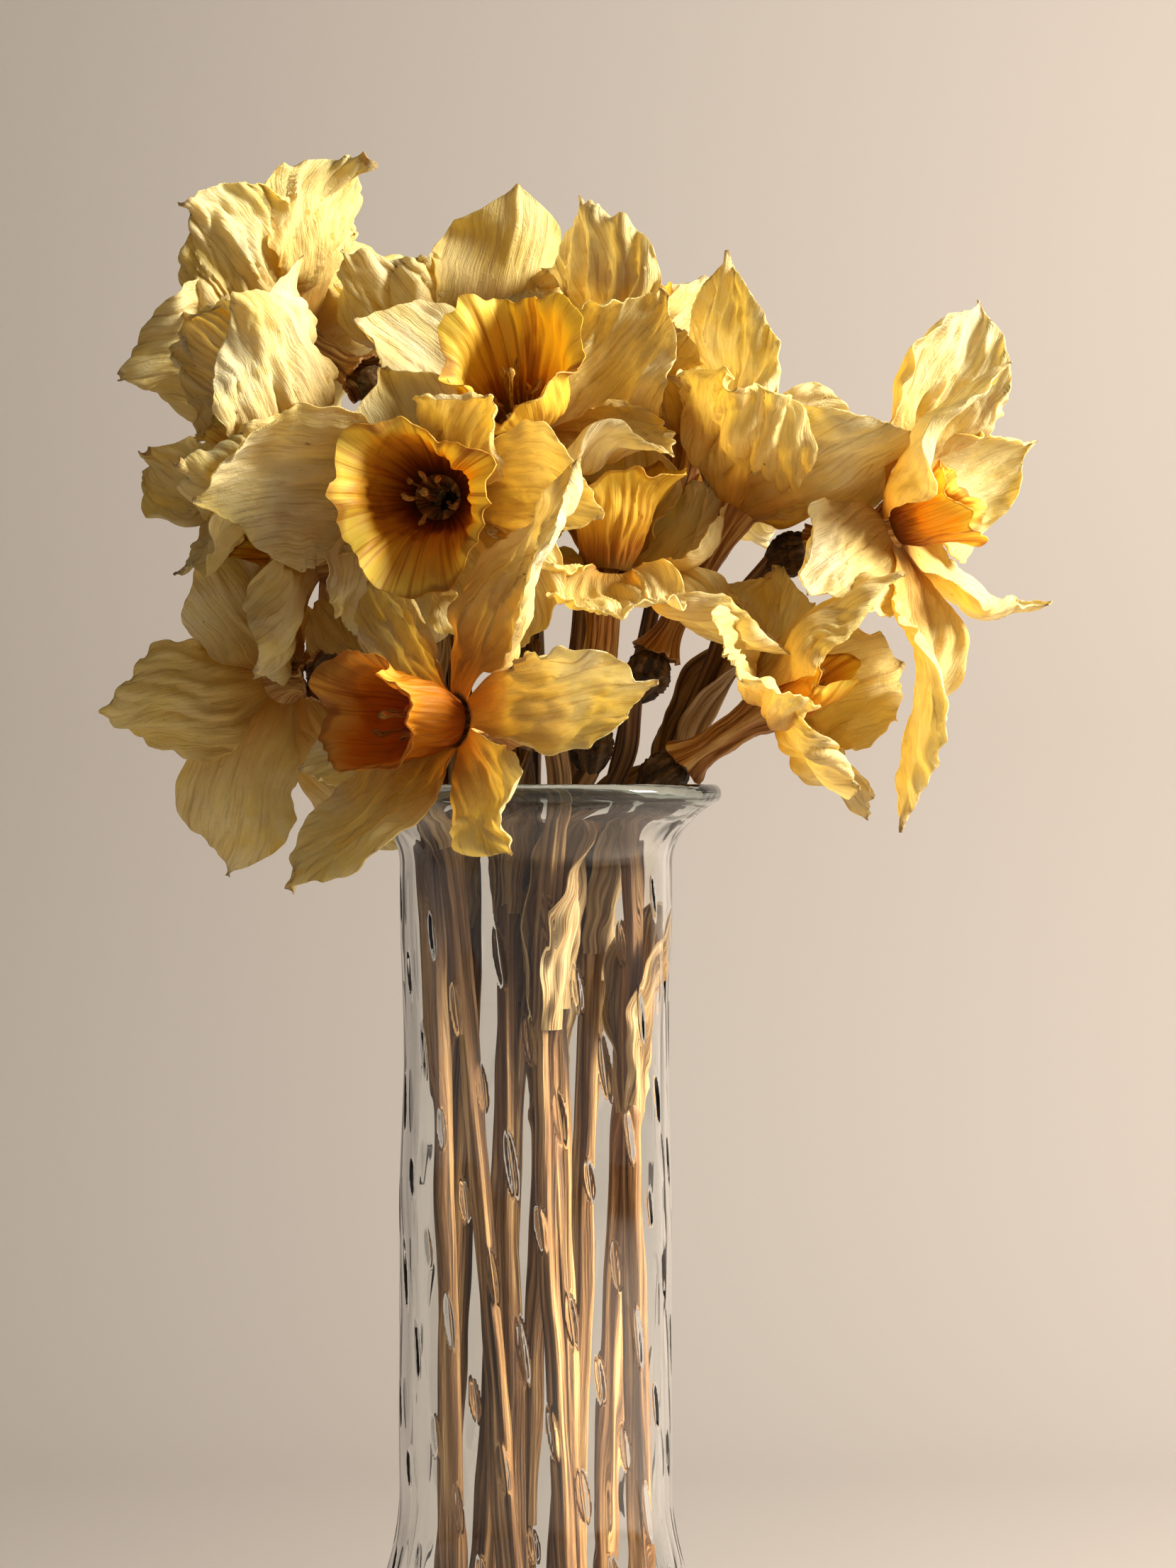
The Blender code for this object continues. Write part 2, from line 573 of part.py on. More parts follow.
def spathe_sheet(flower, line):
    """The papery sheath: wrapped round the stem at its foot, open and wider at its mouth."""
    lengths = [0.0]
    for a, b in zip(line, line[1:]):
        lengths.append(lengths[-1] + (b - a).length)
    start = lengths[-1] - flower["spathe"]
    length = spathe_length(flower)
    frames = frames_along(line)
    points = []
    for r in range(SPATHE_ROWS + 1):
        share = r / SPATHE_ROWS
        place = start + length * share
        i = max(k for k in range(len(lengths) - 1) if lengths[k] <= place)
        at = line[i].lerp(line[i + 1], (place - lengths[i]) / (lengths[i + 1] - lengths[i]))
        side, deep = frames[i]
        foot = STEM_RADIUS + SPATHE_FOOT_ROOM + SHEET / 2
        wrap = math.radians(mix(*SPATHE_WRAP, share))
        radius = mix(foot, SPATHE_MOUTH_RADIUS, smooth(share)) / math.cos(wrap / SPATHE_COLUMNS / 2)
        for c in range(SPATHE_COLUMNS + 1):
            turn = wrap * (c / SPATHE_COLUMNS - 0.5)
            points.append(at + (side * math.cos(turn) + deep * math.sin(turn)) * radius)
    return points, grid_quads(SPATHE_COLUMNS, SPATHE_ROWS)


# Bunch


def tree(points, faces):
    return BVHTree.FromPolygons(points, faces)


def placed(points, frame):
    return [frame @ p for p in points]


def tepal_skin(root, points, half, frame):
    """A tepal as a closed thin solid in the vase's frame. Without its root, root is empty."""
    rows = (len(root) + len(points)) // (ACROSS + 1) - 1
    made, faces = thickened(root + points, grid_quads(ACROSS, rows), half)
    return tree(placed(made, frame), faces)


def corona_tree(flower, frame):
    points, faces = thickened(*corona_sheet(flower), SHEET / 2)
    return tree(placed(points, frame), faces)


def root_of(flower, k):
    """The points of the throat that tepal k grows from."""
    ring = [spoke * THROAT_RADIUS for spoke in throat_ring(flower)]
    return [ring[(k * ACROSS + i) % len(ring)] for i in range(ACROSS + 1)]


def bud(flower, frame):
    """The space that a flower's six tepals need at their most shrivelled."""
    return [tepal_skin(root_of(flower, k), tepal_points(bearing, SHRIVELLED, (0, 0, 1.0)),
                       SHEET / 2 + TEPAL_ROOM, frame) for k, bearing in enumerate(bearings(flower))]


def settle(flower, k, frame, fixed, others, own):
    """Tepal k, bent as far as it must to touch nothing."""
    bearing, wish, root = bearings(flower)[k], flower["tepals"][k], root_of(flower, k)
    for fold in folds():
        points = tepal_points(bearing, wish, fold)
        free = tepal_skin([], points, SHEET / 2 + TEPAL_ROOM, frame)
        if any(free.overlap(other) for other in fixed + own):
            continue
        whole = tepal_skin(root, points, SHEET / 2 + TEPAL_ROOM, frame)
        if not any(whole.overlap(other) for other in others):
            return points
    return tepal_points(bearing, SHRIVELLED, (0, 0, 1.0))


def main():
    clear_scene()
    bunch = bpy.data.objects.new("bunch", None)
    bpy.context.scene.collection.objects.link(bunch)
    points, faces = turned(vase_outline(), VASE_SIDES)
    add_object("vase", points, faces, "glass", None)
    fixed = [tree(points, faces)]
    frames = {number: seat(flower) for number, flower in FLOWERS.items()}
    lines = settled_lines()
    for number, flower in sorted(FLOWERS.items()):
        points, faces = stem_solid(flower, lines[number])
        add_object(f"stem_{number:02d}", points, faces, "stem", bunch)
        fixed.append(tree(points, faces))
        points, faces = thickened(*spathe_sheet(flower, lines[number]), SHEET / 2)
        add_object(f"spathe_{number:02d}", points, faces, "spathe", bunch)
        fixed.append(tree(points, faces))
        points, faces = thickened(*corona_sheet(flower), SHEET / 2)
        add_object(f"corona_{number:02d}", points, faces, "corona", bunch, frames[number])
        fixed.append(tree(placed(points, frames[number]), faces))
        points, faces = thickened(*tube_sheet(flower), SHEET / 2)
        fixed.append(tree(placed(points, frames[number]), faces))
    buds = {number: bud(flower, frames[number]) for number, flower in FLOWERS.items()}
    others = []
    for number, flower in FLOWERS.items():
        frame = frames[number]
        del buds[number]
        waiting = [skin for skins in buds.values() for skin in skins]
        tepals, own = [], []
        for k in range(TEPALS):
            tepal = settle(flower, k, frame, fixed, others + waiting, own)
            tepals.append(tepal)
            own.append(tepal_skin([], tepal, SHEET / 2, frame))
        others += [tepal_skin(root_of(flower, k), tepal, SHEET / 2, frame) for k, tepal in enumerate(tepals)]
        points, faces = thickened(*perianth_sheet(flower, tepals), SHEET / 2)
        add_object(f"perianth_{number:02d}", points, faces, "tepal", bunch, frame)


if __name__ == "__main__":
    main()
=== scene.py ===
import math

import bpy
import numpy as np
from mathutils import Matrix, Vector
from mathutils.bvhtree import BVHTree


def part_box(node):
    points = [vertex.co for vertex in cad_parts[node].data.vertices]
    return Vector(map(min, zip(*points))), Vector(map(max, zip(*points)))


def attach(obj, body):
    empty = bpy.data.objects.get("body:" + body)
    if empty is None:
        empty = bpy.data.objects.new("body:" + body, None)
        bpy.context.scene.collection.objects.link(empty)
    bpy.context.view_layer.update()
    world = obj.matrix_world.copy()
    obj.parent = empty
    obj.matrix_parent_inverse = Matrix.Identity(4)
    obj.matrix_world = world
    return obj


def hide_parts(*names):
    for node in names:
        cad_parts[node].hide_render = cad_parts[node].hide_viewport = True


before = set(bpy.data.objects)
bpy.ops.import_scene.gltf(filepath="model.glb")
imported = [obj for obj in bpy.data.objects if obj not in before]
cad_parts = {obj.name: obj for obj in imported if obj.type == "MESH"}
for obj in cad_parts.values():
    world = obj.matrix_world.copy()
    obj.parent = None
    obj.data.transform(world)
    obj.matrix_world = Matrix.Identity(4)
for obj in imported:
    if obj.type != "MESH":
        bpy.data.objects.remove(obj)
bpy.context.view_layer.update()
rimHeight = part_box("vase")[1].z
print("frame loaded, rim at", round(rimHeight, 4))

# The bunch. Throats are measured from the rim's centre; faces is azimuth (0 is -Y, 90 is +X) and
# elevation; corona is length, rim radius and squeeze; each tepal is spread, curl, twist and reach.
# slim narrows a flower's tepals, and fresh takes its trumpet from orange (0) to lemon (1).
flowers = {
    1: dict(throat=(-0.051, 0.026, 0.094), faces=(-128, 26), tube=0.021, corona=(0.021, 0.012, 0.8),
            sheath=0.070, roll=-8,
            tepals=[(76, 5, -5, 0.95), (84, 20, 10, 0.95), (80, 15, -8, 0.9),
                    (92, -15, 12, 0.8), (84, 10, 10, 0.95), (78, -8, 5, 1.0)]),
    2: dict(throat=(-0.0145, 0.0265, 0.0885), faces=(-135, 72), tube=0.021, corona=(0.019, 0.0115, 0.8),
            sheath=0.070, roll=15,
            tepals=[(52, 25, 10, 0.95), (60, 30, -15, 0.9), (75, 30, 30, 0.8),
                    (66, 35, -10, 0.85), (45, 30, 12, 1.0), (70, 10, 15, 0.9)]),
    3: dict(throat=(-0.003, -0.008, 0.071), faces=(-4, 32), tube=0.018, corona=(0.021, 0.015, 1.0),
            sheath=0.104, roll=0, fresh=0.95,
            tepals=[(88, -25, 10, 0.9), (80, 30, -25, 0.9), (84, 40, 40, 0.85),
                    (118, -10, 15, 0.6), (96, 20, 30, 0.85), (76, 15, 0, 0.9)]),
    4: dict(throat=(-0.0185, -0.026, 0.056), faces=(-7, -3), tube=0.017, corona=(0.022, 0.0145, 0.95),
            sheath=0.088, roll=32,
            tepals=[(100, -10, 10, 0.6), (62, 14, 14, 0.8), (88, -18, -12, 0.75),
                    (92, -20, 10, 0.75), (84, 18, 30, 1.1), (104, -10, 0, 0.6)]),
    5: dict(throat=(-0.052, 0.010, 0.022), faces=(-148, 2), tube=0.017, corona=(0.020, 0.012, 0.9),
            sheath=0.040, roll=-14, slim=0.86,
            tepals=[(88, 8, 5, 0.95), (96, -6, -8, 0.7), (92, 4, 8, 0.9),
                    (90, 10, -5, 1.0), (94, -8, 5, 1.25), (86, 12, 10, 1.05)]),
    6: dict(throat=(-0.0145, -0.045, 0.0120), faces=(-52, 2), tube=0.013, corona=(0.019, 0.013, 0.8),
            sheath=0.062, roll=15, slim=0.70, fresh=0.0,
            tepals=[(108, 8, 10, 1.25), (112, 10, -20, 1.1), (95, 40, 20, 0.8),
                    (62, 42, 12, 1.05), (80, 20, -10, 0.85), (100, 10, 10, 0.9)]),
    7: dict(throat=(0.0145, -0.012, 0.0425), faces=(28, 80), tube=0.030, corona=(0.019, 0.0112, 1.0),
            sheath=0.050, roll=20, fresh=0.8,
            tepals=[(48, 35, 30, 0.8), (60, 30, -30, 0.7), (132, 45, 12, 0.95),
                    (112, 20, -20, 0.7), (80, 40, 30, 0.7), (58, -10, 15, 0.8)]),
    8: dict(throat=(0.040, 0.002, 0.056), faces=(101, 62), tube=0.033, corona=(0.018, 0.0112, 0.7),
            sheath=0.054, roll=-10,
            tepals=[(36, 8, -8, 1.25), (62, 20, 45, 1.05), (70, 10, 10, 0.9),
                    (80, 20, 10, 0.8), (62, 12, 10, 1.0), (44, -25, 12, 1.0)]),
    9: dict(throat=(0.073, 0.000, 0.053), faces=(62, 14), tube=0.018, corona=(0.015, 0.01, 0.7),
            sheath=0.058, roll=10,
            tepals=[(62, 40, 50, 1.15), (70, 60, -50, 1.0), (84, 60, 60, 0.95),
                    (80, -42, 40, 1.5), (108, -10, -40, 0.75), (92, 30, 40, 1.1)]),
    10: dict(throat=(0.0465, -0.012, 0.0152), faces=(75, 33), tube=0.020, corona=(0.015, 0.0092, 0.7),
             sheath=0.066, roll=-25,
             tepals=[(60, 5, 10, 1.0), (72, 25, 30, 0.8), (60, 40, -30, 0.9),
                     (88, 30, 20, 0.65), (80, 30, 10, 0.65), (80, 15, -10, 0.8)]),
    11: dict(throat=(-0.046, -0.006, 0.064), faces=(-77, 40), tube=0.016, corona=(0.019, 0.011, 0.7),
             sheath=0.050, roll=8,
             tepals=[(40, 12, 10, 1.0), (52, 20, 15, 1.05), (78, 25, -10, 0.85),
                     (95, 10, 12, 0.75), (60, 25, 10, 1.05), (54, -5, -10, 1.1)]),
    12: dict(throat=(-0.044, 0.010, 0.047), faces=(-104, 2), tube=0.016, corona=(0.015, 0.0095, 0.75),
             sheath=0.078, roll=5,
             tepals=[(80, 20, -12, 0.85), (100, 10, 20, 0.8), (85, -10, 10, 0.85),
                     (98, 20, -20, 0.8), (88, 25, 12, 0.85), (105, 10, 25, 0.8)]),
    13: dict(throat=(0.015, 0.014, 0.083), faces=(150, 76), tube=0.021, corona=(0.019, 0.0115, 0.8),
             sheath=0.122, roll=0,
             tepals=[(60, 25, 45, 0.95), (82, 30, -30, 0.95), (95, 20, 20, 0.8),
                     (80, 30, 20, 0.8), (66, 40, -25, 0.85), (55, 25, 30, 0.8)]),
    14: dict(throat=(0.032, 0.025, 0.071), faces=(160, 56), tube=0.016, corona=(0.018, 0.011, 0.8),
             sheath=0.092, roll=12,
             tepals=[(80, 15, 15, 0.9), (92, 10, -20, 0.9), (86, 25, 10, 0.95),
                     (95, 5, 15, 0.85), (80, 20, -12, 0.9), (90, 10, 20, 0.85)]),
}
# the sizes of the CAD model that the looks start from
cadSizes = dict(tepalLength=0.037, tepalWidth=0.025, cup=40.0, throatRadius=0.0052,
                coronaFoot=0.0046, coronaLift=0.0011, gap=0.0003, ovaryLength=0.0095,
                collarRadius=0.0044, tubeRadius=0.0029, stemRadius=0.0023, pedicelRadius=0.0019,
                sheathLength=0.040, sheathRoom=0.004)


# Numbers and noise

def mix(a, b, share):
    return a + (b - a) * share


def smooth(share):
    share = np.clip(share, 0.0, 1.0)
    return share * share * (3 - 2 * share)


def through(knots, at):
    # a smooth curve through (place, value) knots
    places, values = np.array(knots, float).T
    at = np.asarray(at, float)
    slopes = np.gradient(values, places)
    i = np.clip(np.searchsorted(places, at, side="right") - 1, 0, len(places) - 2)
    span = places[i + 1] - places[i]
    t = np.clip((at - places[i]) / span, 0.0, 1.0)
    return ((2 * t**3 - 3 * t**2 + 1) * values[i] + (t**3 - 2 * t**2 + t) * span * slopes[i]
            + (3 * t**2 - 2 * t**3) * values[i + 1] + (t**3 - t**2) * span * slopes[i + 1])


def noise(x, y, seed, around=0):
    # smooth waves from -1 to 1; around is how many cells along x make a full turn
    x, y = np.broadcast_arrays(np.asarray(x, float), np.asarray(y, float))
    left, low = np.floor(x), np.floor(y)
    fx, fy = x - left, y - low
    left, low = left.astype(np.int64), low.astype(np.int64)

    def pull(i, j):
        column = (left + i) % around if around else left + i
        mixed = (column * 374761393 + (low + j) * 668265263 + (seed + 17) * 974634777) & 0xFFFFFFFF
        mixed = ((mixed ^ (mixed >> 13)) * 1274126177) & 0xFFFFFFFF
        turn = ((mixed ^ (mixed >> 16)) & 0xFFFF) / 65536 * math.tau
        return np.cos(turn) * (fx - i) + np.sin(turn) * (fy - j)

    ease = lambda t: t * t * t * (t * (t * 6 - 15) + 10)
    bottom = mix(pull(0, 0), pull(1, 0), ease(fx))
    top = mix(pull(0, 1), pull(1, 1), ease(fx))
    return mix(bottom, top, ease(fy)) * 1.5


def ridge(x, y, seed, around=0):
    # sharp creases from -1 to 1
    return 1 - 2 * np.minimum(1.0, np.abs(noise(x, y, seed, around)) * 1.6)


def unit(vectors):
    return vectors / np.maximum(np.linalg.norm(vectors, axis=-1, keepdims=True), 1e-12)


def pointingAt(bearing):
    # the way out from a flower's axis at a bearing, and the way across it
    turn = math.radians(bearing)
    return np.array([math.sin(turn), math.cos(turn), 0]), np.array([math.cos(turn), -math.sin(turn), 0])


def turnsOf(columns):
    return np.arange(columns) / columns * math.tau


def lengthsAlong(path):
    return np.concatenate([[0], np.cumsum(np.linalg.norm(np.diff(path, axis=0), axis=1))])


# Meshes. A part holds points, quads, tris and two attributes: where (across, along, tone) and
# place (metres across, metres along, a number of its own).

def sheet(grid, thick, where, place, around=False):
    # a closed thin solid on a grid of points
    rows, columns = grid.shape[:2]
    across = np.roll(grid, -1, 1) - np.roll(grid, 1, 1) if around else np.gradient(grid, axis=1)
    normal = unit(np.cross(across, np.gradient(grid, axis=0)))
    both = np.concatenate([(grid + normal * side * thick / 2).reshape(-1, 3) for side in (1, -1)])
    at = np.arange(rows * columns).reshape(rows, columns)
    right = np.roll(at, -1, 1) if around else at[:, 1:]
    left = at if around else at[:, :-1]
    front = np.stack([left[:-1], right[:-1], right[1:], left[1:]], -1).reshape(-1, 4)
    n = rows * columns
    quads = [front, front[:, ::-1] + n]
    edges = [(right[0], left[0]), (left[-1], right[-1])]
    if not around:
        edges += [(at[:-1, 0], at[1:, 0]), (at[1:, -1], at[:-1, -1])]
    quads += [np.stack([a, b, b + n, a + n], -1) for a, b in edges]
    twice = lambda values: np.tile(values.reshape(-1, 3), (2, 1))
    return dict(points=both, quads=np.concatenate(quads), tris=np.zeros((0, 3), int),
                where=twice(where), place=twice(place))


def rod(grid, where, place):
    # a closed solid from rings of points, with a flat cap at each end
    rows, columns = grid.shape[:2]
    at = np.arange(rows * columns).reshape(rows, columns)
    right = np.roll(at, -1, 1)
    quads = np.stack([at[:-1], right[:-1], right[1:], at[1:]], -1).reshape(-1, 4)
    foot, top = rows * columns, rows * columns + 1
    tris = np.concatenate([np.stack([right[0], at[0], np.full(columns, foot)], -1),
                           np.stack([at[-1], right[-1], np.full(columns, top)], -1)])
    ends = lambda values: np.concatenate([values.reshape(-1, 3), [values[0].mean(0), values[-1].mean(0)]])
    return dict(points=ends(grid), quads=quads, tris=tris, where=ends(where), place=ends(place))


def attributesOf(rows, columns, width, length, tone, own):
    # where and place for a grid; width and length are metres for each point
    across, along = np.meshgrid(np.linspace(-1, 1, columns), np.linspace(0, 1, rows))
    where = np.stack([across, along, np.full_like(across, tone)], -1)
    place = np.stack([across * width, along * length, np.full_like(across, own)], -1)
    return where, place


def moved(part, matrix):
    part["points"] = part["points"] @ matrix[:3, :3].T + matrix[:3, 3]
    return part


def added(name, data):
    thing = bpy.data.objects.new(name, data)
    bpy.context.scene.collection.objects.link(thing)
    return thing


def addPiece(name, parts, finish, nodes=()):
    counts = np.cumsum([0] + [len(part["points"]) for part in parts])
    join = lambda key: np.concatenate([part[key] + start for part, start in zip(parts, counts)])
    quads, tris = join("quads"), join("tris")
    mesh = bpy.data.meshes.new(name)
    points = np.concatenate([part["points"] for part in parts])
    mesh.vertices.add(len(points))
    mesh.vertices.foreach_set("co", points.astype(np.float32).ravel())
    corners = np.concatenate([quads.ravel(), tris.ravel()]).astype(np.int32)
    mesh.loops.add(len(corners))
    mesh.loops.foreach_set("vertex_index", corners)
    starts = np.concatenate([np.arange(len(quads)) * 4, len(quads) * 4 + np.arange(len(tris)) * 3])
    mesh.polygons.add(len(starts))
    mesh.polygons.foreach_set("loop_start", starts.astype(np.int32))
    mesh.update(calc_edges=True)
    mesh.validate()
    mesh.shade_smooth()
    mesh.set_sharp_from_angle(angle=math.radians(80))
    for key in ("where", "place"):
        values = np.concatenate([part[key] for part in parts]).astype(np.float32)
        mesh.attributes.new(key, "FLOAT_VECTOR", "POINT").data.foreach_set("vector", values.ravel())
    mesh.materials.append(finish)
    piece = added(name, mesh)
    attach(piece, "root")
    if nodes:
        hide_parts(*nodes)
    return piece


# Finishes

def colour(red, green, blue):
    # linear colour from 0 to 255 values
    return tuple((c / 255 / 12.92) if c / 255 <= 0.04045 else ((c / 255 + 0.055) / 1.055) ** 2.4
                 for c in (red, green, blue)) + (1.0,)


def startFinish(name):
    finish = bpy.data.materials.new(name)
    finish.use_nodes = True
    tree = finish.node_tree
    tree.nodes.clear()
    return finish, tree


def shade(tree, kind, values=None, out=0, **settings):
    # a node with its sockets set or linked; gives back one of its outputs
    made = tree.nodes.new("ShaderNode" + kind)
    for key, value in settings.items():
        setattr(made, key, value)
    for key, value in (values or {}).items():
        if isinstance(value, bpy.types.NodeSocket):
            tree.links.new(value, made.inputs[key])
        else:
            made.inputs[key].default_value = value
    return made.outputs[out]


def blendColours(tree, share, first, second, how="MIX"):
    return shade(tree, "Mix", {0: share, 6: first, 7: second}, out=2, data_type="RGBA", blend_type=how)


def sums(tree, how, first, second=0.0, third=0.0):
    return shade(tree, "Math", {0: first, 1: second, 2: third}, operation=how)


def ramp(tree, share, stops):
    made = tree.nodes.new("ShaderNodeValToRGB")
    tree.links.new(share, made.inputs[0])
    steps = made.color_ramp.elements
    while len(steps) < len(stops):
        steps.new(0.5)
    for step, (place, value) in zip(steps, stops):
        step.position = place
        step.color = value if isinstance(value, tuple) else (value, value, value, 1)
    return made.outputs[0]


def placesOn(tree):
    # across, along and tone as numbers, and place as a vector
    split = tree.nodes.new("ShaderNodeSeparateXYZ")
    tree.links.new(shade(tree, "Attribute", out=1, attribute_name="where"), split.inputs[0])
    return *split.outputs, shade(tree, "Attribute", out=1, attribute_name="place")


def grain(tree, place, stretch, detail=3.0, rough=0.55, warp=0.0):
    # noise over a piece's own lengths: stretch is waves in a metre across and along
    scaled = shade(tree, "VectorMath", {0: place, 1: (stretch[0], stretch[1], 13.7)}, operation="MULTIPLY")
    return shade(tree, "TexNoise", {"Vector": scaled, "Scale": 1.0, "Detail": detail, "Roughness": rough,
                                    "Distortion": warp})


def drift(tree, base, pattern, amount):
    # base pushed to and fro by a pattern that runs from 0 to 1
    return sums(tree, "ADD", base, sums(tree, "MULTIPLY", sums(tree, "SUBTRACT", pattern, 0.5), amount))


def finishUp(tree, body, bump, rough, back=None, translucent=0.0, **more):
    # the front shader, with a share of light that comes through where there is any
    front = shade(tree, "BsdfPrincipled", {"Base Color": body, "Roughness": rough, "Normal": bump, **more})
    if translucent:
        behind = shade(tree, "BsdfTranslucent", {"Color": body if back is None else back, "Normal": bump})
        front = shade(tree, "MixShader", {0: translucent, 1: front, 2: behind})
    tree.links.new(front, tree.nodes.new("ShaderNodeOutputMaterial").inputs[0])


def stained(tree, body, look, *layers):
    # lays colours over body, each where the ramp of its pattern says
    for pattern, stops, name in layers:
        body = blendColours(tree, ramp(tree, pattern, stops), body, look[name])
    return body


petalFinish = dict(cream=colour(254, 249, 224), straw=colour(253, 237, 152), honey=colour(240, 210, 110),
                   amber=colour(214, 152, 36), brown=colour(150, 104, 48), vein=colour(220, 194, 134),
                   pale=colour(255, 252, 238),
                   glow=colour(255, 236, 172), translucent=0.50, roughness=0.56)


def makePetalFinish():
    finish, tree = startFinish("driedTepal")
    look = petalFinish
    across, along, tone, place = placesOn(tree)
    veins = grain(tree, place, (1500, 55), 4.0, 0.62, 0.5)
    crepe = grain(tree, place, (560, 260), 5.0, 0.66, 1.4)
    patches = grain(tree, place, (75, 60), 3.0, 0.5, 0.6)
    body = stained(tree, look["cream"], look, (patches, [(0.34, 0), (0.66, 1)], "straw"),
                   (tone, [(0.15, 0), (1, 0.75)], "straw"))
    pale = sums(tree, "MULTIPLY", ramp(tree, crepe, [(0.5, 0), (0.72, 0.7)]),
                ramp(tree, tone, [(0.2, 1), (0.8, 0.1)]))
    body = blendColours(tree, pale, body, look["pale"])
    rootward = drift(tree, along, patches, 0.35)
    body = stained(tree, body, look, (veins, [(0.36, 0.6), (0.46, 0), (0.60, 0), (0.72, 0.3)], "vein"),
                   (rootward, [(0, 1), (0.22, 0.75), (0.55, 0)], "honey"),
                   (rootward, [(0, 1), (0.07, 0.75), (0.24, 0)], "amber"))
    edge = drift(tree, sums(tree, "ABSOLUTE", across), crepe, 0.5)
    worn = sums(tree, "MAXIMUM", ramp(tree, edge, [(1, 0), (1.14, 0.4)]),
                ramp(tree, drift(tree, along, crepe, 0.3), [(0.96, 0), (1.06, 0.6)]))
    body = blendColours(tree, worn, body, look["brown"])
    spots = grain(tree, place, (520, 420), 2.0, 0.5)
    body = stained(tree, body, look, (spots, [(0.74, 0), (0.82, 0.55)], "brown"))
    relief = sums(tree, "ADD", sums(tree, "MULTIPLY", veins, 0.7), sums(tree, "MULTIPLY", crepe, 0.6))
    bump = shade(tree, "Bump", {"Strength": 0.95, "Distance": 0.0009, "Height": relief})
    glow = blendColours(tree, 0.45, body, look["glow"], "MULTIPLY")
    finishUp(tree, body, bump, look["roughness"], glow, look["translucent"],
             **{"Specular IOR Level": 0.35, "Sheen Weight": 0.12, "Sheen Roughness": 0.5})
    return finish


# dark is the trumpet's foot: partly its own colour, partly painted shade deep in the cup
coronaFinish = dict(gold=colour(246, 190, 44), amber=colour(232, 162, 36), rust=colour(172, 90, 18),
                    dark=colour(84, 36, 12), ripe=colour(240, 138, 34), lemon=colour(250, 222, 92),
                    translucent=0.42, roughness=0.5)


def makeCoronaFinish():
    finish, tree = startFinish("driedCorona")
    look = coronaFinish
    across, along, tone, place = placesOn(tree)
    streaks = grain(tree, place, (1000, 30), 4.0, 0.66, 0.5)
    blotches = grain(tree, place, (110, 90), 3.0, 0.55, 0.8)
    shifted = drift(tree, along, streaks, 0.55)
    # darker towards the foot: partly the trumpet's own colour, partly painted shade deep in the cup
    body = ramp(tree, shifted, [(0.0, look["dark"]), (0.20, look["rust"]), (0.46, look["amber"]),
                                (0.80, look["gold"]), (0.96, look["lemon"])])
    fresh = sums(tree, "MULTIPLY", ramp(tree, tone, [(0.4, 0), (1, 0.75)]),
                 ramp(tree, shifted, [(0.25, 0.2), (0.6, 1)]))
    body = blendColours(tree, fresh, body, look["lemon"])
    rim = drift(tree, along, blotches, 0.30)
    body = stained(tree, body, look, (tone, [(0, 0.45), (0.35, 0)], "ripe"),
                   (streaks, [(0.33, 0.6), (0.48, 0)], "rust"),
                   (blotches, [(0.55, 0), (0.72, 0.5)], "rust"),
                   (rim, [(0.96, 0), (1.02, 0.55)], "rust"))
    relief = sums(tree, "ADD", streaks, sums(tree, "MULTIPLY", grain(tree, place, (500, 400), 4.0), 0.5))
    bump = shade(tree, "Bump", {"Strength": 0.6, "Distance": 0.0006, "Height": relief})
    finishUp(tree, body, bump, look["roughness"], None, look["translucent"], **{"Specular IOR Level": 0.35})
    return finish


# one maker for the fibrous finishes: light and dark run in lines along the piece, following the bump:
# partly the fibres' own stripes, partly painted highlight on ridges and painted shade in grooves
fibreFinishes = dict(
    driedStem=dict(light=colour(188, 150, 100), mid=colour(122, 84, 48), dark=colour(36, 18, 8),
                   lines=(1100, 16), patches=(300, 26), translucent=0.0, roughness=0.5),
    driedTube=dict(light=colour(226, 190, 118), mid=colour(178, 120, 54), dark=colour(96, 50, 16),
                   lines=(1300, 34), patches=(260, 60), translucent=0.15, roughness=0.55),
    driedOvary=dict(light=colour(120, 90, 54), mid=colour(74, 52, 30), dark=colour(28, 19, 12),
                    lines=(900, 110), patches=(420, 260), translucent=0.0, roughness=0.62),
    driedSheath=dict(light=colour(226, 200, 154), mid=colour(190, 154, 104), dark=colour(128, 92, 54),
                     lines=(1100, 22), patches=(120, 60), translucent=0.38, roughness=0.6),
    driedStamen=dict(light=colour(246, 214, 120), mid=colour(214, 160, 62), dark=colour(140, 86, 26),
                     lines=(900, 500), patches=(800, 500), translucent=0.1, roughness=0.7),
)


def makeFibreFinish(name):
    look = fibreFinishes[name]
    finish, tree = startFinish(name)
    across, along, tone, place = placesOn(tree)
    lines = grain(tree, place, look["lines"], 4.0, 0.65, 0.3)
    patches = grain(tree, place, look["patches"], 3.0, 0.55, 0.8)
    # painted highlight on the bump's ridges and painted shade in its grooves, along with the fibres' own
    # stripes
    body = ramp(tree, lines, [(0.38, look["dark"]), (0.50, look["mid"]), (0.64, look["light"])])
    body = stained(tree, body, look, (patches, [(0.42, 0), (0.70, 0.6)], "mid"),
                   (tone, [(0.5, 0), (1, 0.7)], "dark"))
    height = sums(tree, "ADD", lines, sums(tree, "MULTIPLY", patches, 0.6))
    bump = shade(tree, "Bump", {"Strength": 0.9, "Distance": 0.0008, "Height": height})
    rough = ramp(tree, lines, [(0.3, look["roughness"] + 0.15), (0.7, look["roughness"] - 0.15)])
    finishUp(tree, body, bump, rough, None, look["translucent"], **{"Specular IOR Level": 0.4})
    return finish


# the lip's dark grey-green tint is painted shade, standing in for the dark surroundings the thick lip
# refracts
glassFinish = dict(tint=(0.962, 0.974, 0.966, 1.0), lipPaintedShade=(0.34, 0.40, 0.37, 1.0), ior=1.48, smudge=0.010)


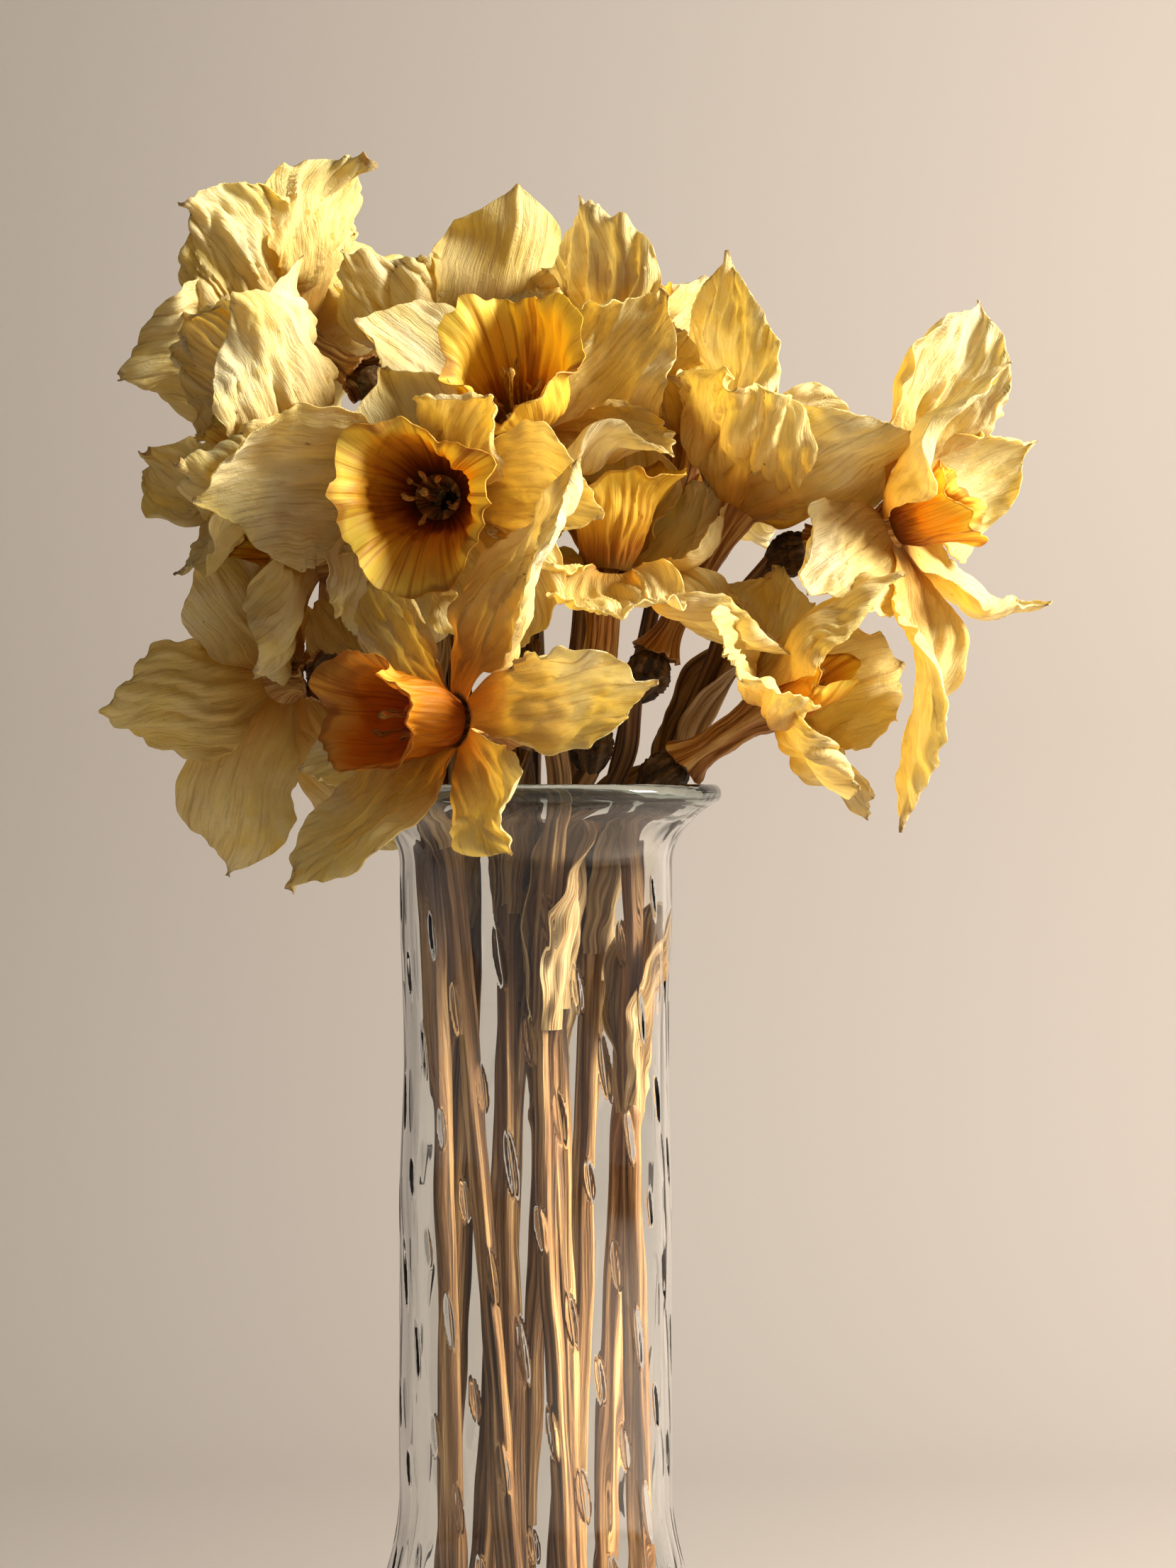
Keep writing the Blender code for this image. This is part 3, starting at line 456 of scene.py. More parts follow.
def makeGlassFinish():
    finish, tree = startFinish("clearGlass")
    look = glassFinish
    spots = shade(tree, "TexCoord", out=3)
    smudges = shade(tree, "TexNoise", {"Vector": spots, "Scale": 38.0, "Detail": 4.0, "Roughness": 0.6})
    rough = ramp(tree, smudges, [(0.45, 0.0), (0.75, look["smudge"])])
    stretched = shade(tree, "VectorMath", {0: spots, 1: (90.0, 90.0, 9.0)}, operation="MULTIPLY")
    waves = shade(tree, "TexNoise", {"Vector": stretched, "Scale": 1.0, "Detail": 2.0})
    bump = shade(tree, "Bump", {"Strength": 0.35, "Distance": 0.0012, "Height": waves})
    # painted shade: the top of the lip is darkened by height, for the dark surroundings it refracts
    tint = ramp(tree, placesOn(tree)[1], [(0.972, look["tint"]), (0.986, look["lipPaintedShade"])])
    finishUp(tree, tint, bump, rough, **{"IOR": look["ior"], "Transmission Weight": 1.0})
    return finish


petal, corona = makePetalFinish(), makeCoronaFinish()
fibres = {name: makeFibreFinish(name) for name in fibreFinishes}
glass = makeGlassFinish()
print("finishes made")


# Vase

vaseLook = dict(heel=0.0012, baseRadius=0.029, bellyRadius=0.039, bellyHeight=0.030, shoulder=0.052,
                neckRadius=0.0278, waistDepth=0.0007, waistDrop=0.055, waistReach=0.032,
                flare=0.0125, rimRadius=0.0379, lip=0.0038, overhang=0.0014, wall=0.0022,
                floor=0.006, columns=460, step=0.0006,
                marks=150, markDepth=0.00036, markWidth=0.0019, markLength=(0.006, 0.016), markLean=0.14)


def outsideRadius(height):
    look = vaseLook
    lipUnder = rimHeight - look["lip"]
    neckFoot, neckTop = look["bellyHeight"] + look["shoulder"], lipUnder - look["flare"]
    turn = 1 - np.clip(height / look["bellyHeight"], 0, 1)
    belly = mix(look["baseRadius"], look["bellyRadius"], np.sqrt(np.maximum(0.0, 1 - turn * turn)))
    shoulder = mix(look["bellyRadius"], look["neckRadius"],
                   smooth((height - look["bellyHeight"]) / look["shoulder"]))
    waist = np.maximum(0.0, 1 - np.abs(height - (rimHeight - look["waistDrop"])) / look["waistReach"])
    neck = look["neckRadius"] - look["waistDepth"] * smooth(waist)
    flare = mix(look["neckRadius"], look["rimRadius"] - look["overhang"],
                np.clip((height - neckTop) / look["flare"], 0, 1) ** 2.2)
    return np.select([height < look["bellyHeight"], height < neckFoot, height < neckTop],
                     [belly, shoulder, neck], flare)


def makeVase():
    look = vaseLook
    lipUnder = rimHeight - look["lip"]
    heelRadius = look["heel"]
    heelAt = look["baseRadius"] - heelRadius
    base = [(r, 0.0) for r in np.linspace(0.0004, heelAt, 14)]
    heel = [(heelAt + heelRadius * math.sin(t), heelRadius * (1 - math.cos(t)))
            for t in np.linspace(0.2, 1.4, 4)]
    heights = np.arange(0.0014, lipUnder - 0.0002, look["step"])
    outside = [(float(outsideRadius(h)), h) for h in heights]
    half = look["lip"] / 2
    lipAt = look["rimRadius"] - half * 0.9
    lip = [(lipAt + half * 0.9 * math.cos(t), rimHeight - half + half * math.sin(t))
           for t in np.linspace(-1.35, 1.35, 18)]
    innerTop = [(lipAt - 0.0022 * s, rimHeight - 0.00015 - 0.0012 * s * s)
                for s in np.linspace(0.25, 1.0, 6)]
    downward = heights[::-1][::4]
    last = innerTop[-1]
    inside = [(float(outsideRadius(h)) - look["wall"], h) for h in downward
              if look["floor"] + 0.001 < h < last[1] - 0.0012]
    cornerAt = float(outsideRadius(look["floor"])) - look["wall"]
    corner = [(cornerAt - 0.003 * (1 - math.cos(t)), look["floor"] + 0.001 * (1 - math.sin(t)))
              for t in np.linspace(0.2, 1.5, 5)]
    floor = [(r, look["floor"]) for r in np.linspace(corner[-1][0] - 0.002, 0.0004, 12)]
    outline = np.array(base + heel + outside + lip + innerTop + inside + corner + floor)
    columns = look["columns"]
    radius, height = [np.repeat(outline[:, k:k + 1], columns, 1) for k in (0, 1)]
    wall = slice(len(base) + len(heel), len(base) + len(heel) + len(outside))
    turn = np.repeat(turnsOf(columns)[None], len(outline), 0)
    # a slow waver, as blown glass has
    radius = radius + 0.00022 * noise(turn / math.tau * 5, height / 0.035, 5, 5) * (radius > 0.02)
    dent = np.zeros_like(radius[wall])
    for i in range(look["marks"]):
        share = (i + 0.5) / look["marks"]
        at = mix(0.036, rimHeight - 0.023, share) + 0.003 * float(noise(i * 1.7, 0.5, 11))
        facingTo = i * 137.508 / 360 * math.tau
        length = mix(*look["markLength"], 0.5 + 0.5 * float(noise(i * 2.3, 3.5, 12)))
        wide = look["markWidth"] * (1 + 0.15 * float(noise(i * 3.1, 6.5, 13)))
        along = (height[wall] - at) / (length / 2)
        gap = (turn[wall] - facingTo + math.pi) % math.tau - math.pi
        aside = gap * radius[wall] + along * length / 2 * look["markLean"]
        lens = wide / 2 * np.maximum(0.0, 1 - along * along) ** 0.8
        near = (np.abs(along) < 1) & (np.abs(aside) < lens)
        ratio = np.where(near, aside / np.maximum(lens, 1e-6), 1.0)
        depth = look["markDepth"] * np.minimum(1.0, (1 - along * along) * 2.2) * (1 - ratio * ratio)
        dent = np.maximum(dent, np.where(near, depth, 0.0))
    radius[wall] -= dent
    grid = np.stack([radius * np.cos(turn), radius * np.sin(turn), height], -1)
    where = np.stack([turn / math.pi - 1, height / rimHeight, np.zeros_like(turn)], -1)
    place = np.stack([turn * 0.03, height, np.zeros_like(turn)], -1)
    vase = addPiece("glassVase", [rod(grid, where, place)], glass, ["vase"])
    vase.visible_shadow = False  # lamps shine through to the stems
    return vase


makeVase()
print("vase made")


# Where each flower sits

def facing(azimuth, elevation):
    turn, rise = math.radians(azimuth), math.radians(elevation)
    return np.array([math.sin(turn) * math.cos(rise), -math.cos(turn) * math.cos(rise), math.sin(rise)])


def seat(flower):
    # the flower's own frame as a 4 by 4 table: its throat, Z the way it faces, Y its upper side
    axis = facing(*flower["faces"])
    across = unit(np.cross([0.0, 0.0, 1.0], axis))
    matrix = np.eye(4)
    matrix[:3, 0], matrix[:3, 1], matrix[:3, 2] = across, np.cross(axis, across), axis
    matrix[:3, 3] = np.array(flower["throat"]) + (0, 0, rimHeight)
    return matrix


def cadPoints(node):
    return np.array([v.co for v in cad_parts[node].data.vertices])


def carried(points, matrix):
    return np.asarray(points) @ matrix[:3, :3].T + matrix[:3, 3]


# Tepals. Each follows the fold that its CAD tepal took.

folds = dict(spread=(0, 10, -10, 20, -20, 32, -32), curl=(0, 28, -28, 50),
             reach=(1.0, 0.84, 0.68, 0.52, 0.38), shrivelled=(50, 0, 0, 0.24),
             rows=(0.2, 0.42, 0.66, 0.86, 1.0), tolerance=0.00042)


def cadWidth(along):
    knots = ((0.0, 0.27), (0.2, 0.58), (0.5, 1.0), (0.66, 0.97), (0.86, 0.58), (1.0, 0.05))
    for (start, low), (end, high) in zip(knots, knots[1:]):
        if along <= end:
            return mix(low, high, float(smooth((along - start) / (end - start))))
    return knots[-1][1]


def cadTepal(bearing, spread, curl, twist, reach):
    # points of the CAD tepal's middle surface
    length, cup = cadSizes["tepalLength"] * reach, math.radians(cadSizes["cup"])
    start, bend = math.radians(spread), math.radians(curl) or 1e-6
    out, side = pointingAt(bearing)
    points = []
    for along in folds["rows"]:
        tilt, roll = start - bend * along, math.radians(twist) * along
        radial = cadSizes["throatRadius"] + length * (math.cos(tilt) - math.cos(start)) / bend
        axial = length * (math.sin(start) - math.sin(tilt)) / bend
        face = out * -math.cos(tilt) + np.array([0, 0, math.sin(tilt)])
        aside = side * math.cos(roll) + face * math.sin(roll)
        front = face * math.cos(roll) - side * math.sin(roll)
        half = 0.5 * cadSizes["tepalWidth"] * cadWidth(along) * min(1.0, 0.35 + 0.65 * reach)
        for bow in (-cup, 0.0, cup):
            points.append(out * radial + np.array([0, 0, axial]) + aside * (half * math.sin(bow) / cup)
                          + front * (half * (1 - math.cos(bow)) / cup))
    return points


def foldOf(skin, matrix, bearing, wish):
    # the spread, curl, twist and reach with which the CAD tepal was made
    spread, curl, twist, reach = wish
    for share in folds["reach"]:
        for moreCurl in folds["curl"]:
            for moreSpread in folds["spread"]:
                tried = (spread + moreSpread, curl + moreCurl, twist, reach * share)
                points = carried(cadTepal(bearing, *tried), matrix)
                if all(skin.find_nearest(Vector(p))[3] < folds["tolerance"] for p in points[::-1]):
                    return tried
    return folds["shrivelled"]


tepalLook = dict(rows=74, halfColumns=25, length=1.08, width=1.24, thick=0.00024, cup=34.0, ruffle=24.0,
                 frill=16.0, roll=84.0, writhe=26.0, tip=40.0, sway=14.0, waver=14.0,
                 dents=0.0017, folds=0.0009,
                 creases=0.00050, crepe=0.00022, uneven=0.7,
                 outline=((0.0, 0.27), (0.14, 0.60), (0.32, 0.98), (0.48, 1.10), (0.64, 0.98), (0.78, 0.68),
                          (0.89, 0.33), (0.96, 0.10), (1.0, 0.02)))


def makeTepal(bearing, shape, own, slim=1.0, look=tepalLook):
    spread, curl, twist, reach = shape
    rows, half = look["rows"], look["halfColumns"]
    length = cadSizes["tepalLength"] * reach * look["length"]
    v = np.linspace(0, 1, rows)
    seed = own * 31
    nod = 1.6 * float(noise(own * 0.71, 8.5, 4))
    tilt = (math.radians(spread) - math.radians(curl) * v
            + math.radians(look["waver"]) * noise(v * 2.6, 0.3, seed) * smooth(v / 0.25)
            - math.radians(look["tip"]) * nod * smooth((v - 0.62) / 0.38))
    sway = math.radians(look["sway"]) * noise(v * 1.8, 4.7, seed + 1) * smooth(v / 0.2) * 1.5
    out, side = pointingAt(bearing)
    up = np.array([0.0, 0.0, 1.0])
    tilt, sway = tilt[:, None], sway[:, None]
    straight = out * np.sin(tilt) + up * np.cos(tilt)
    ahead = straight * np.cos(sway) + side * np.sin(sway)
    aside = side * np.cos(sway) - straight * np.sin(sway)
    face = up * np.sin(tilt) - out * np.cos(tilt)
    steps = (ahead[1:] + ahead[:-1]) / 2 * length / (rows - 1)
    root = out * cadSizes["throatRadius"]
    middle = np.concatenate([[root], root + np.cumsum(steps, 0)])
    rolling = (math.radians(twist) * v
               + math.radians(look["writhe"]) * noise(v * 2.2, 9.1, seed + 2) * smooth(v / 0.3))[:, None]
    level, upright = aside, face
    aside = level * np.cos(rolling) + upright * np.sin(rolling)
    face = upright * np.cos(rolling) - level * np.sin(rolling)
    wide = (0.5 * cadSizes["tepalWidth"] * slim * look["width"] * through(look["outline"], v)
            * min(1.0, 0.35 + 0.65 * reach))
    cup = math.radians(look["cup"]) * (1 + 0.55 * noise(v * 2.0, 2.2, seed + 3))
    s = np.linspace(0, 1, half + 1)
    sides = []
    for k, sign in enumerate((-1, 1)):
        ragged = (1 + 0.12 * noise(v * 3.5, k * 5 + 0.5, seed + 4)
                  + 0.035 * noise(v * 15, k * 5 + 2.5, seed + 5))
        waves = noise(v * 3.6 * length / 0.037 + 7 * k, 0.4, seed + 6 + k)
        frills = noise(v * 12 * length / 0.037, 3.4, seed + 8 + k)
        rolls = noise(v * 1.9, 6.6 + k * 3, seed + 10) * 1.3
        bend = (cup[:, None] * s * 1.15
                + math.radians(look["ruffle"]) * (waves * smooth(v / 0.2))[:, None] * s ** 1.6
                + math.radians(look["frill"]) * frills[:, None] * s ** 6 * 2.0
                + math.radians(look["roll"]) * rolls[:, None] * s ** 4)
        arc = (wide * ragged)[:, None] / half
        mid = (bend[:, 1:] + bend[:, :-1]) / 2
        sides.append([np.insert(np.cumsum(way * arc, 1), 0, 0.0, 1)
                      for way in (sign * np.cos(mid), np.sin(mid))])
    x, z = [np.concatenate([left[:, :0:-1], right], 1) for left, right in zip(*sides)]
    u = np.concatenate([-s[:0:-1], s])
    grid = middle[:, None] + aside[:, None] * x[..., None] + face[:, None] * z[..., None]
    across = u[None] * wide[:, None]
    along = np.repeat((v * length)[:, None], len(u), 1)
    bent = across + 0.0016 * noise(across / 0.007, along / 0.009, seed + 12)
    crumpled = 1 + look["uneven"] * float(noise(own * 0.93, 5.5, 17)) * 1.6
    push = (look["dents"] * noise(bent / 0.0130, along / 0.0160, seed + 13)
            + crumpled * (look["folds"] * ridge(bent / 0.0062 + along / 0.030, along / 0.026, seed + 14)
                          + look["creases"] * ridge(bent / 0.0026 + along / 0.040, along / 0.012, seed + 15)
                          + look["crepe"] * noise(bent / 0.0012, along / 0.0036, seed + 16))
            - 0.0006 * np.exp(-(bent / 0.0010) ** 2))
    normal = unit(np.cross(np.gradient(grid, axis=1), np.gradient(grid, axis=0)))
    grid = grid + normal * (push * smooth((v - 0.03) / 0.22)[:, None])[..., None]
    # the root grows out of the throat's ring
    spokes = math.radians(bearing) + math.radians(30) * u
    ring = np.stack([np.sin(spokes), np.cos(spokes), 0 * spokes], -1) * cadSizes["throatRadius"]
    grid = mix(ring[None], grid, smooth(v / 0.12)[:, None, None])
    tone = 0.5 + 0.5 * float(noise(own * 1.37, 2.5, 9))
    where, place = attributesOf(rows, len(u), 1.0, length, tone, own * 1.7)
    place[..., 0] = across
    return sheet(grid, look["thick"], where, place)


tubeLook = dict(columns=60, rows=46, thick=0.0005, ribs=6, ribDepth=0.12, crease=0.00028, tear=0.0022)


def makeTube(flower, own, look=tubeLook):
    # the striped sleeve behind the tepals, torn where it spreads over the ovary
    length = flower["tube"]
    v = np.linspace(0, 1, look["rows"])
    turn = turnsOf(look["columns"])
    knots = ((-length, cadSizes["collarRadius"] + 0.0006),
             (-length + 0.0022, cadSizes["tubeRadius"] + 0.0007),
             (-length * 0.55, cadSizes["tubeRadius"]), (-length * 0.2, cadSizes["tubeRadius"] + 0.0006),
             (0.0, cadSizes["throatRadius"]))
    height = np.repeat((-length * (1 - v))[:, None], len(turn), 1)
    share = turn[None] / math.tau
    end = smooth((0.16 - v) / 0.16)[:, None]
    height = height + end * look["tear"] * 0.5 * (noise(share * 14, 0.5, own + 60, 14) - 0.3)
    radius = through(knots, -length * (1 - v))[:, None]
    calm = smooth((1 - v) / 0.12)[:, None]
    ribs = np.cos(turn[None] * look["ribs"] + own) * look["ribDepth"] * 0.6
    radius = radius * (1 + calm * (ribs + 0.10 * noise(share * 18, v[:, None] * 3, own + 61, 18)))
    radius = radius + calm * look["crease"] * ridge(share * 26, v[:, None] * 2.2, own + 62, 26)
    grid = np.stack([radius * np.sin(turn)[None], radius * np.cos(turn)[None], height], -1)
    tone = 0.25 + 0.25 * math.sin(own)
    where, place = attributesOf(look["rows"], len(turn), 0.0095, length, tone, own * 2.1)
    return sheet(grid[:, ::-1], look["thick"], where, place, around=True)


coronaLook = dict(columns=156, rows=44, thick=0.00026, flare=0.10, frill=0.13, pleat=0.00044, lobes=0.30,
                  drawn=0.34)


def makeCorona(flower, own, look=coronaLook):
    length, rim, squeeze = flower["corona"]
    v = np.linspace(0, 1, look["rows"])[:, None]
    turn = turnsOf(look["columns"])[None]
    share = turn / math.tau
    part = through(((0, 0), (0.25, 0.24), (0.55, 0.50), (0.82, 0.74), (0.94, 0.93),
                    (1, 1.0 + look["flare"])), v)
    radius = mix(cadSizes["coronaFoot"], rim, part)
    frills = (noise(share * 9, v * 1.2, own + 80, 9) + 0.8 * noise(share * 19, v * 2, own + 81, 19))
    radius = radius * (1 + look["lobes"] * smooth(v / 0.8) * noise(share * 4, v * 1.6, own + 82, 4) * 1.4
                       + look["frill"] * smooth((v - 0.55) / 0.45) * frills)
    radius = radius + look["pleat"] * smooth(v / 0.2) * (ridge(share * 24, v * 1.5, own + 83, 24)
                                                         + 0.5 * noise(share * 60, v * 5, own + 84, 60))
    height = (cadSizes["coronaLift"] + length * v
              + length * smooth((v - 0.5) / 0.5) * (look["drawn"] * noise(share * 7, 0.5, own + 85, 7)
                                                    + 0.06 * noise(share * 23, 0.5, own + 86, 23)))
    radius, height = np.broadcast_arrays(radius, height)
    flat = mix(1.0, squeeze, v)
    lean = 0.0016 * noise(v * 1.5, own * 0.37, 87) * v
    grid = np.stack([radius * np.sin(turn) + lean, radius * flat * np.cos(turn), height], -1)
    where, place = attributesOf(look["rows"], look["columns"], 0.03, length, flower.get("fresh", 0.5),
                                own * 3.3)
    return sheet(grid[:, ::-1], look["thick"], where, place, around=True)


def sweep(path, radii, columns, tone, own, shape=None):
    # rings round a path; shape multiplies each ring's radius
    path = np.asarray(path, float)
    ways = unit(np.gradient(path, axis=0))
    side = unit(np.cross(ways[0], [0.3, 0.9, 0.2]))
    sides = []
    for way in ways:
        side = unit(side - way * np.dot(side, way))
        sides.append(side)
    sides = np.array(sides)
    deep = np.cross(ways, sides)
    turn = turnsOf(columns)
    radius = np.repeat(np.asarray(radii, float)[:, None], columns, 1) * (1 if shape is None else shape)
    grid = (path[:, None] + sides[:, None] * (np.cos(turn)[None] * radius)[..., None]
            + deep[:, None] * (np.sin(turn)[None] * radius)[..., None])
    far = lengthsAlong(path)
    where, place = attributesOf(len(path), columns, 0.006, 1.0, tone, own)
    place[..., 1] = far[:, None]
    return rod(grid, where, place)


stamenLook = dict(count=6, anther=0.0044, antherRadius=0.00058, filament=0.00024, ring=0.0019,
                  reach=0.62, style=0.92, styleRadius=0.00042)


def makeStamens(flower, own, look=stamenLook):
    length = flower["corona"][0]
    parts = []
    t = np.linspace(0, 1, 12)[:, None]
    for i in range(look["count"]):
        spoke = pointingAt(360 * (i + 0.3 * math.sin(own + i)) / look["count"])[0]
        top = length * (look["reach"] + 0.12 * math.sin(own * 3 + i * 2.1))
        lean = 0.0022 + 0.0012 * math.sin(own + i * 1.7)
        path = spoke * look["ring"] + spoke * lean * t**2 + np.array([0, 0, 1]) * mix(-0.003, top, t)
        parts.append(sweep(path, np.full(12, look["filament"]), 8, 0.1, own + i))
        a = np.linspace(0, 1, 14)[:, None]
        hang = unit(spoke * 0.5 + np.array([0.3 * math.sin(i * 2.0 + own), 0.3 * math.cos(i * 3.0), 0.8]))
        path = path[-1] + hang * look["anther"] * (a - 0.35) + spoke * 0.0005 * np.sin(a * 5)
        swell = look["antherRadius"] * np.sqrt(np.maximum(0.02, 1 - (2 * a[:, 0] - 1) ** 2))
        bumps = 1 + 0.22 * noise(np.arange(10)[None] / 10 * 5, a * 6, own + i, 5)
        parts.append(sweep(path, swell, 10, 0.55, own + i + 0.5, bumps))
    t = np.linspace(0, 1, 26)[:, None]
    path = (np.array([0, 0, 1]) * mix(-0.004, length * look["style"], t)
            + np.array([0.0009, 0.0004, 0]) * np.sin(t * 3 + own))
    swell = look["styleRadius"] * (1 + 1.2 * smooth((t[:, 0] - 0.9) / 0.08)
                                   - 0.7 * smooth((t[:, 0] - 0.97) / 0.03))
    parts.append(sweep(path, swell, 12, 0.2, own + 9))
    return parts


def makeHead(number, flower):
    name, matrix = f"{number:02d}", seat(flower)
    faces = [list(p.vertices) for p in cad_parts[f"perianth_{name}"].data.polygons]
    skin = BVHTree.FromPolygons(cadPoints(f"perianth_{name}").tolist(), faces)
    tepals = []
    for k, wish in enumerate(flower["tepals"]):
        bearing = flower["roll"] + 60.0 * k
        shape = foldOf(skin, matrix, bearing, wish)
        tepals.append(makeTepal(bearing, shape, number * 6 + k, flower.get("slim", 1.0)))
    for kind, parts, finish, slot, node in (
            ("tepals", tepals, petal, "tepal", "perianth"),
            ("tube", [makeTube(flower, number)], fibres["driedTube"], "tepal", "perianth"),
            ("trumpet", [makeCorona(flower, number)], corona, "corona", "corona"),
            ("stamens", makeStamens(flower, number), fibres["driedStamen"], "corona", "corona")):
        addPiece(kind + name, [moved(part, matrix) for part in parts], finish, [f"{node}_{name}"])


for number in flowers:
    makeHead(number, flowers[number])
print("flower heads made")


# Stems, ovaries and sheaths follow the CAD stems.

stemLook = dict(columns=30, step=0.0016, ribs=5, rib=0.15, flat=0.22, knee=0.30, wander=0.0004)


def ovaryBack(flower):
    # how far behind the throat the ovary starts
    return -flower["tube"] - cadSizes["gap"] * 2 - cadSizes["ovaryLength"]


def stemLine(flower, number):
    # the CAD stem's middle line, foot to ovary, from the centres of its rings
    vertices = np.unique(np.round(cadPoints(f"stem_{number:02d}"), 6), axis=0)
    left = set(range(len(vertices)))
    centres = []
    while left:
        ring, waiting = [], [left.pop()]
        while waiting:
            i = waiting.pop()
            ring.append(i)
            near = [j for j in left if np.linalg.norm(vertices[j] - vertices[i]) < 0.003]
            left -= set(near)
            waiting += near
        if len(ring) == 6:
            centres.append(vertices[ring].mean(0))
    centres = np.array(centres)
    order = [int(np.argmin(centres[:, 2]))]
    while len(order) < len(centres):
        gaps = np.linalg.norm(centres - centres[order[-1]], axis=1)
        gaps[order] = 9.0
        order.append(int(np.argmin(gaps)))
    line = centres[order]
    top = carried([(0, 0, ovaryBack(flower))], seat(flower))[0]
    keep = np.linalg.norm(line - top, axis=1) > 0.002
    line = np.concatenate([line[keep], [top]])
    far = lengthsAlong(line)
    places = np.linspace(0, far[-1], int(far[-1] / stemLook["step"]))
    return np.stack([through(list(zip(far, line[:, k])), places) for k in range(3)], -1), places


def makeStalk(flower, number, line, places, look=stemLook):
    behind = places[-1] - places
    radius = mix(cadSizes["stemRadius"], cadSizes["pedicelRadius"], smooth(places / places[-1]))
    radius = radius * (1 + look["knee"] * np.exp(-((behind - flower["sheath"]) / 0.0022) ** 2))
    radius = radius * (1 + 0.08 * noise(places / 0.012, 0.5, number + 200))
    turn = turnsOf(look["columns"])[None]
    share, far = turn / math.tau, places[:, None]
    drift = far * 22 + 2 * noise(far / 0.05, 0.5, number + 201)
    shape = (1 + look["rib"] * np.cos(turn * look["ribs"] + drift)
             + look["flat"] * np.cos(2 * turn + far * 30 + number)
             + 0.06 * noise(share * 11, far / 0.02, number + 202, 11))
    wander = np.stack([noise(places / 0.02, 7 * k + 0.5, number + 203) for k in range(3)], -1)
    calm = smooth(np.minimum(places / 0.012, behind / 0.012))[:, None]
    tone = 0.3 + 0.3 * math.sin(number * 1.9)
    return sweep(line + look["wander"] * wander * calm, radius, look["columns"], tone, number * 1.3, shape)


ovaryLook = dict(rows=34, columns=54, lobes=3, lobe=0.13, wrinkle=0.14,
                 outline=((0, 0.0019), (0.14, 0.0030), (0.36, 0.0040), (0.66, 0.0042), (0.88, 0.0036),
                          (1.0, 0.0024)))


def makeOvary(flower, number, look=ovaryLook):
    t = np.linspace(0, 1, look["rows"])
    back = ovaryBack(flower)
    path = np.stack([0 * t, 0 * t, back - 0.0008 + (cadSizes["ovaryLength"] + 0.0008) * t], -1)
    radius = through(look["outline"], t)
    turn = turnsOf(look["columns"])[None]
    share = turn / math.tau
    shape = (1 + look["lobe"] * np.cos(turn * look["lobes"] + number)
             + (look["wrinkle"] * ridge(share * 16, t[:, None] * 4.5, number + 300, 16)
                * np.sin(np.pi * t)[:, None])
             + 0.06 * noise(share * 30, t[:, None] * 12, number + 301, 30))
    return moved(sweep(path, radius, look["columns"], 0.4, number * 2.7, shape), seat(flower))


sheathLook = dict(rows=54, columns=60, thick=0.00026, foot=0.0029, mouth=0.0052,
                  crumple=0.0011, crease=0.0005,
                  wrap=((0.0, 340), (0.3, 300), (0.6, 250), (0.82, 170), (0.94, 80), (1.0, 12)))


def makeSheath(flower, number, line, places, look=sheathLook):
    start = places[-1] - flower["sheath"]
    length = min(cadSizes["sheathLength"], flower["sheath"] - cadSizes["sheathRoom"]) + 0.002
    v = np.linspace(0, 1, look["rows"])
    at = start + length * v
    path = np.stack([np.interp(at, places, line[:, k]) for k in range(3)], -1)
    ways = unit(np.gradient(path, axis=0))
    vertices = cadPoints(f"spathe_{number:02d}")
    near = np.array([line[np.argmin(np.linalg.norm(line - p, axis=1))] for p in vertices])
    high = np.linalg.norm(vertices - path[-1], axis=1) < length * 0.5
    closed = unit((vertices - near)[high].mean(0)) if high.any() else np.array([0, -1.0, 0])
    side = unit(closed - ways * (ways @ closed)[:, None])
    deep = np.cross(ways, side)
    u = np.linspace(-1, 1, look["columns"])[None]
    torn = 1 + 0.10 * noise(v * 7, 0.5, number + 400)
    wrap = (np.radians(through(look["wrap"], v)) * torn)[:, None]
    turn = wrap / 2 * u
    spread = mix(look["foot"], look["mouth"], smooth(v * 1.3)) * (1 + 0.3 * smooth((v - 0.75) / 0.25))
    far, around = (v * length)[:, None], u * 0.012
    crumples = (look["crumple"] * noise(around / 0.005, far / 0.009, number + 401)
                + look["crease"] * ridge(around / 0.003, far / 0.02, number + 402))
    radius = spread[:, None] + smooth(v / 0.15)[:, None] * crumples + 0.0008 * np.abs(u) ** 3 * v[:, None]
    grid = (path[:, None] + side[:, None] * (np.cos(turn) * radius)[..., None]
            + deep[:, None] * (np.sin(turn) * radius)[..., None])
    tone = 0.3 + 0.3 * math.sin(number * 3.1)
    where, place = attributesOf(look["rows"], look["columns"], 0.012, length, tone, number * 4.1)
    return sheet(grid, look["thick"], where, place)


def makeStem(number, flower):
    name = f"{number:02d}"
    line, places = stemLine(flower, number)
    stalk, sheath = makeStalk(flower, number, line, places), makeSheath(flower, number, line, places)
    addPiece(f"stalk{name}", [stalk], fibres["driedStem"], [f"stem_{name}"])
    addPiece(f"ovary{name}", [makeOvary(flower, number)], fibres["driedOvary"], [f"stem_{name}"])
    addPiece(f"sheath{name}", [sheath], fibres["driedSheath"], [f"spathe_{name}"])


for number in flowers:
    makeStem(number, flowers[number])
print("stems and sheaths made")


# Stage, lamps and camera

stageLook = dict(wall=colour(173, 164, 161), wallAt=0.62, bend=0.25, wide=1.6, front=1.1, tall=1.3)


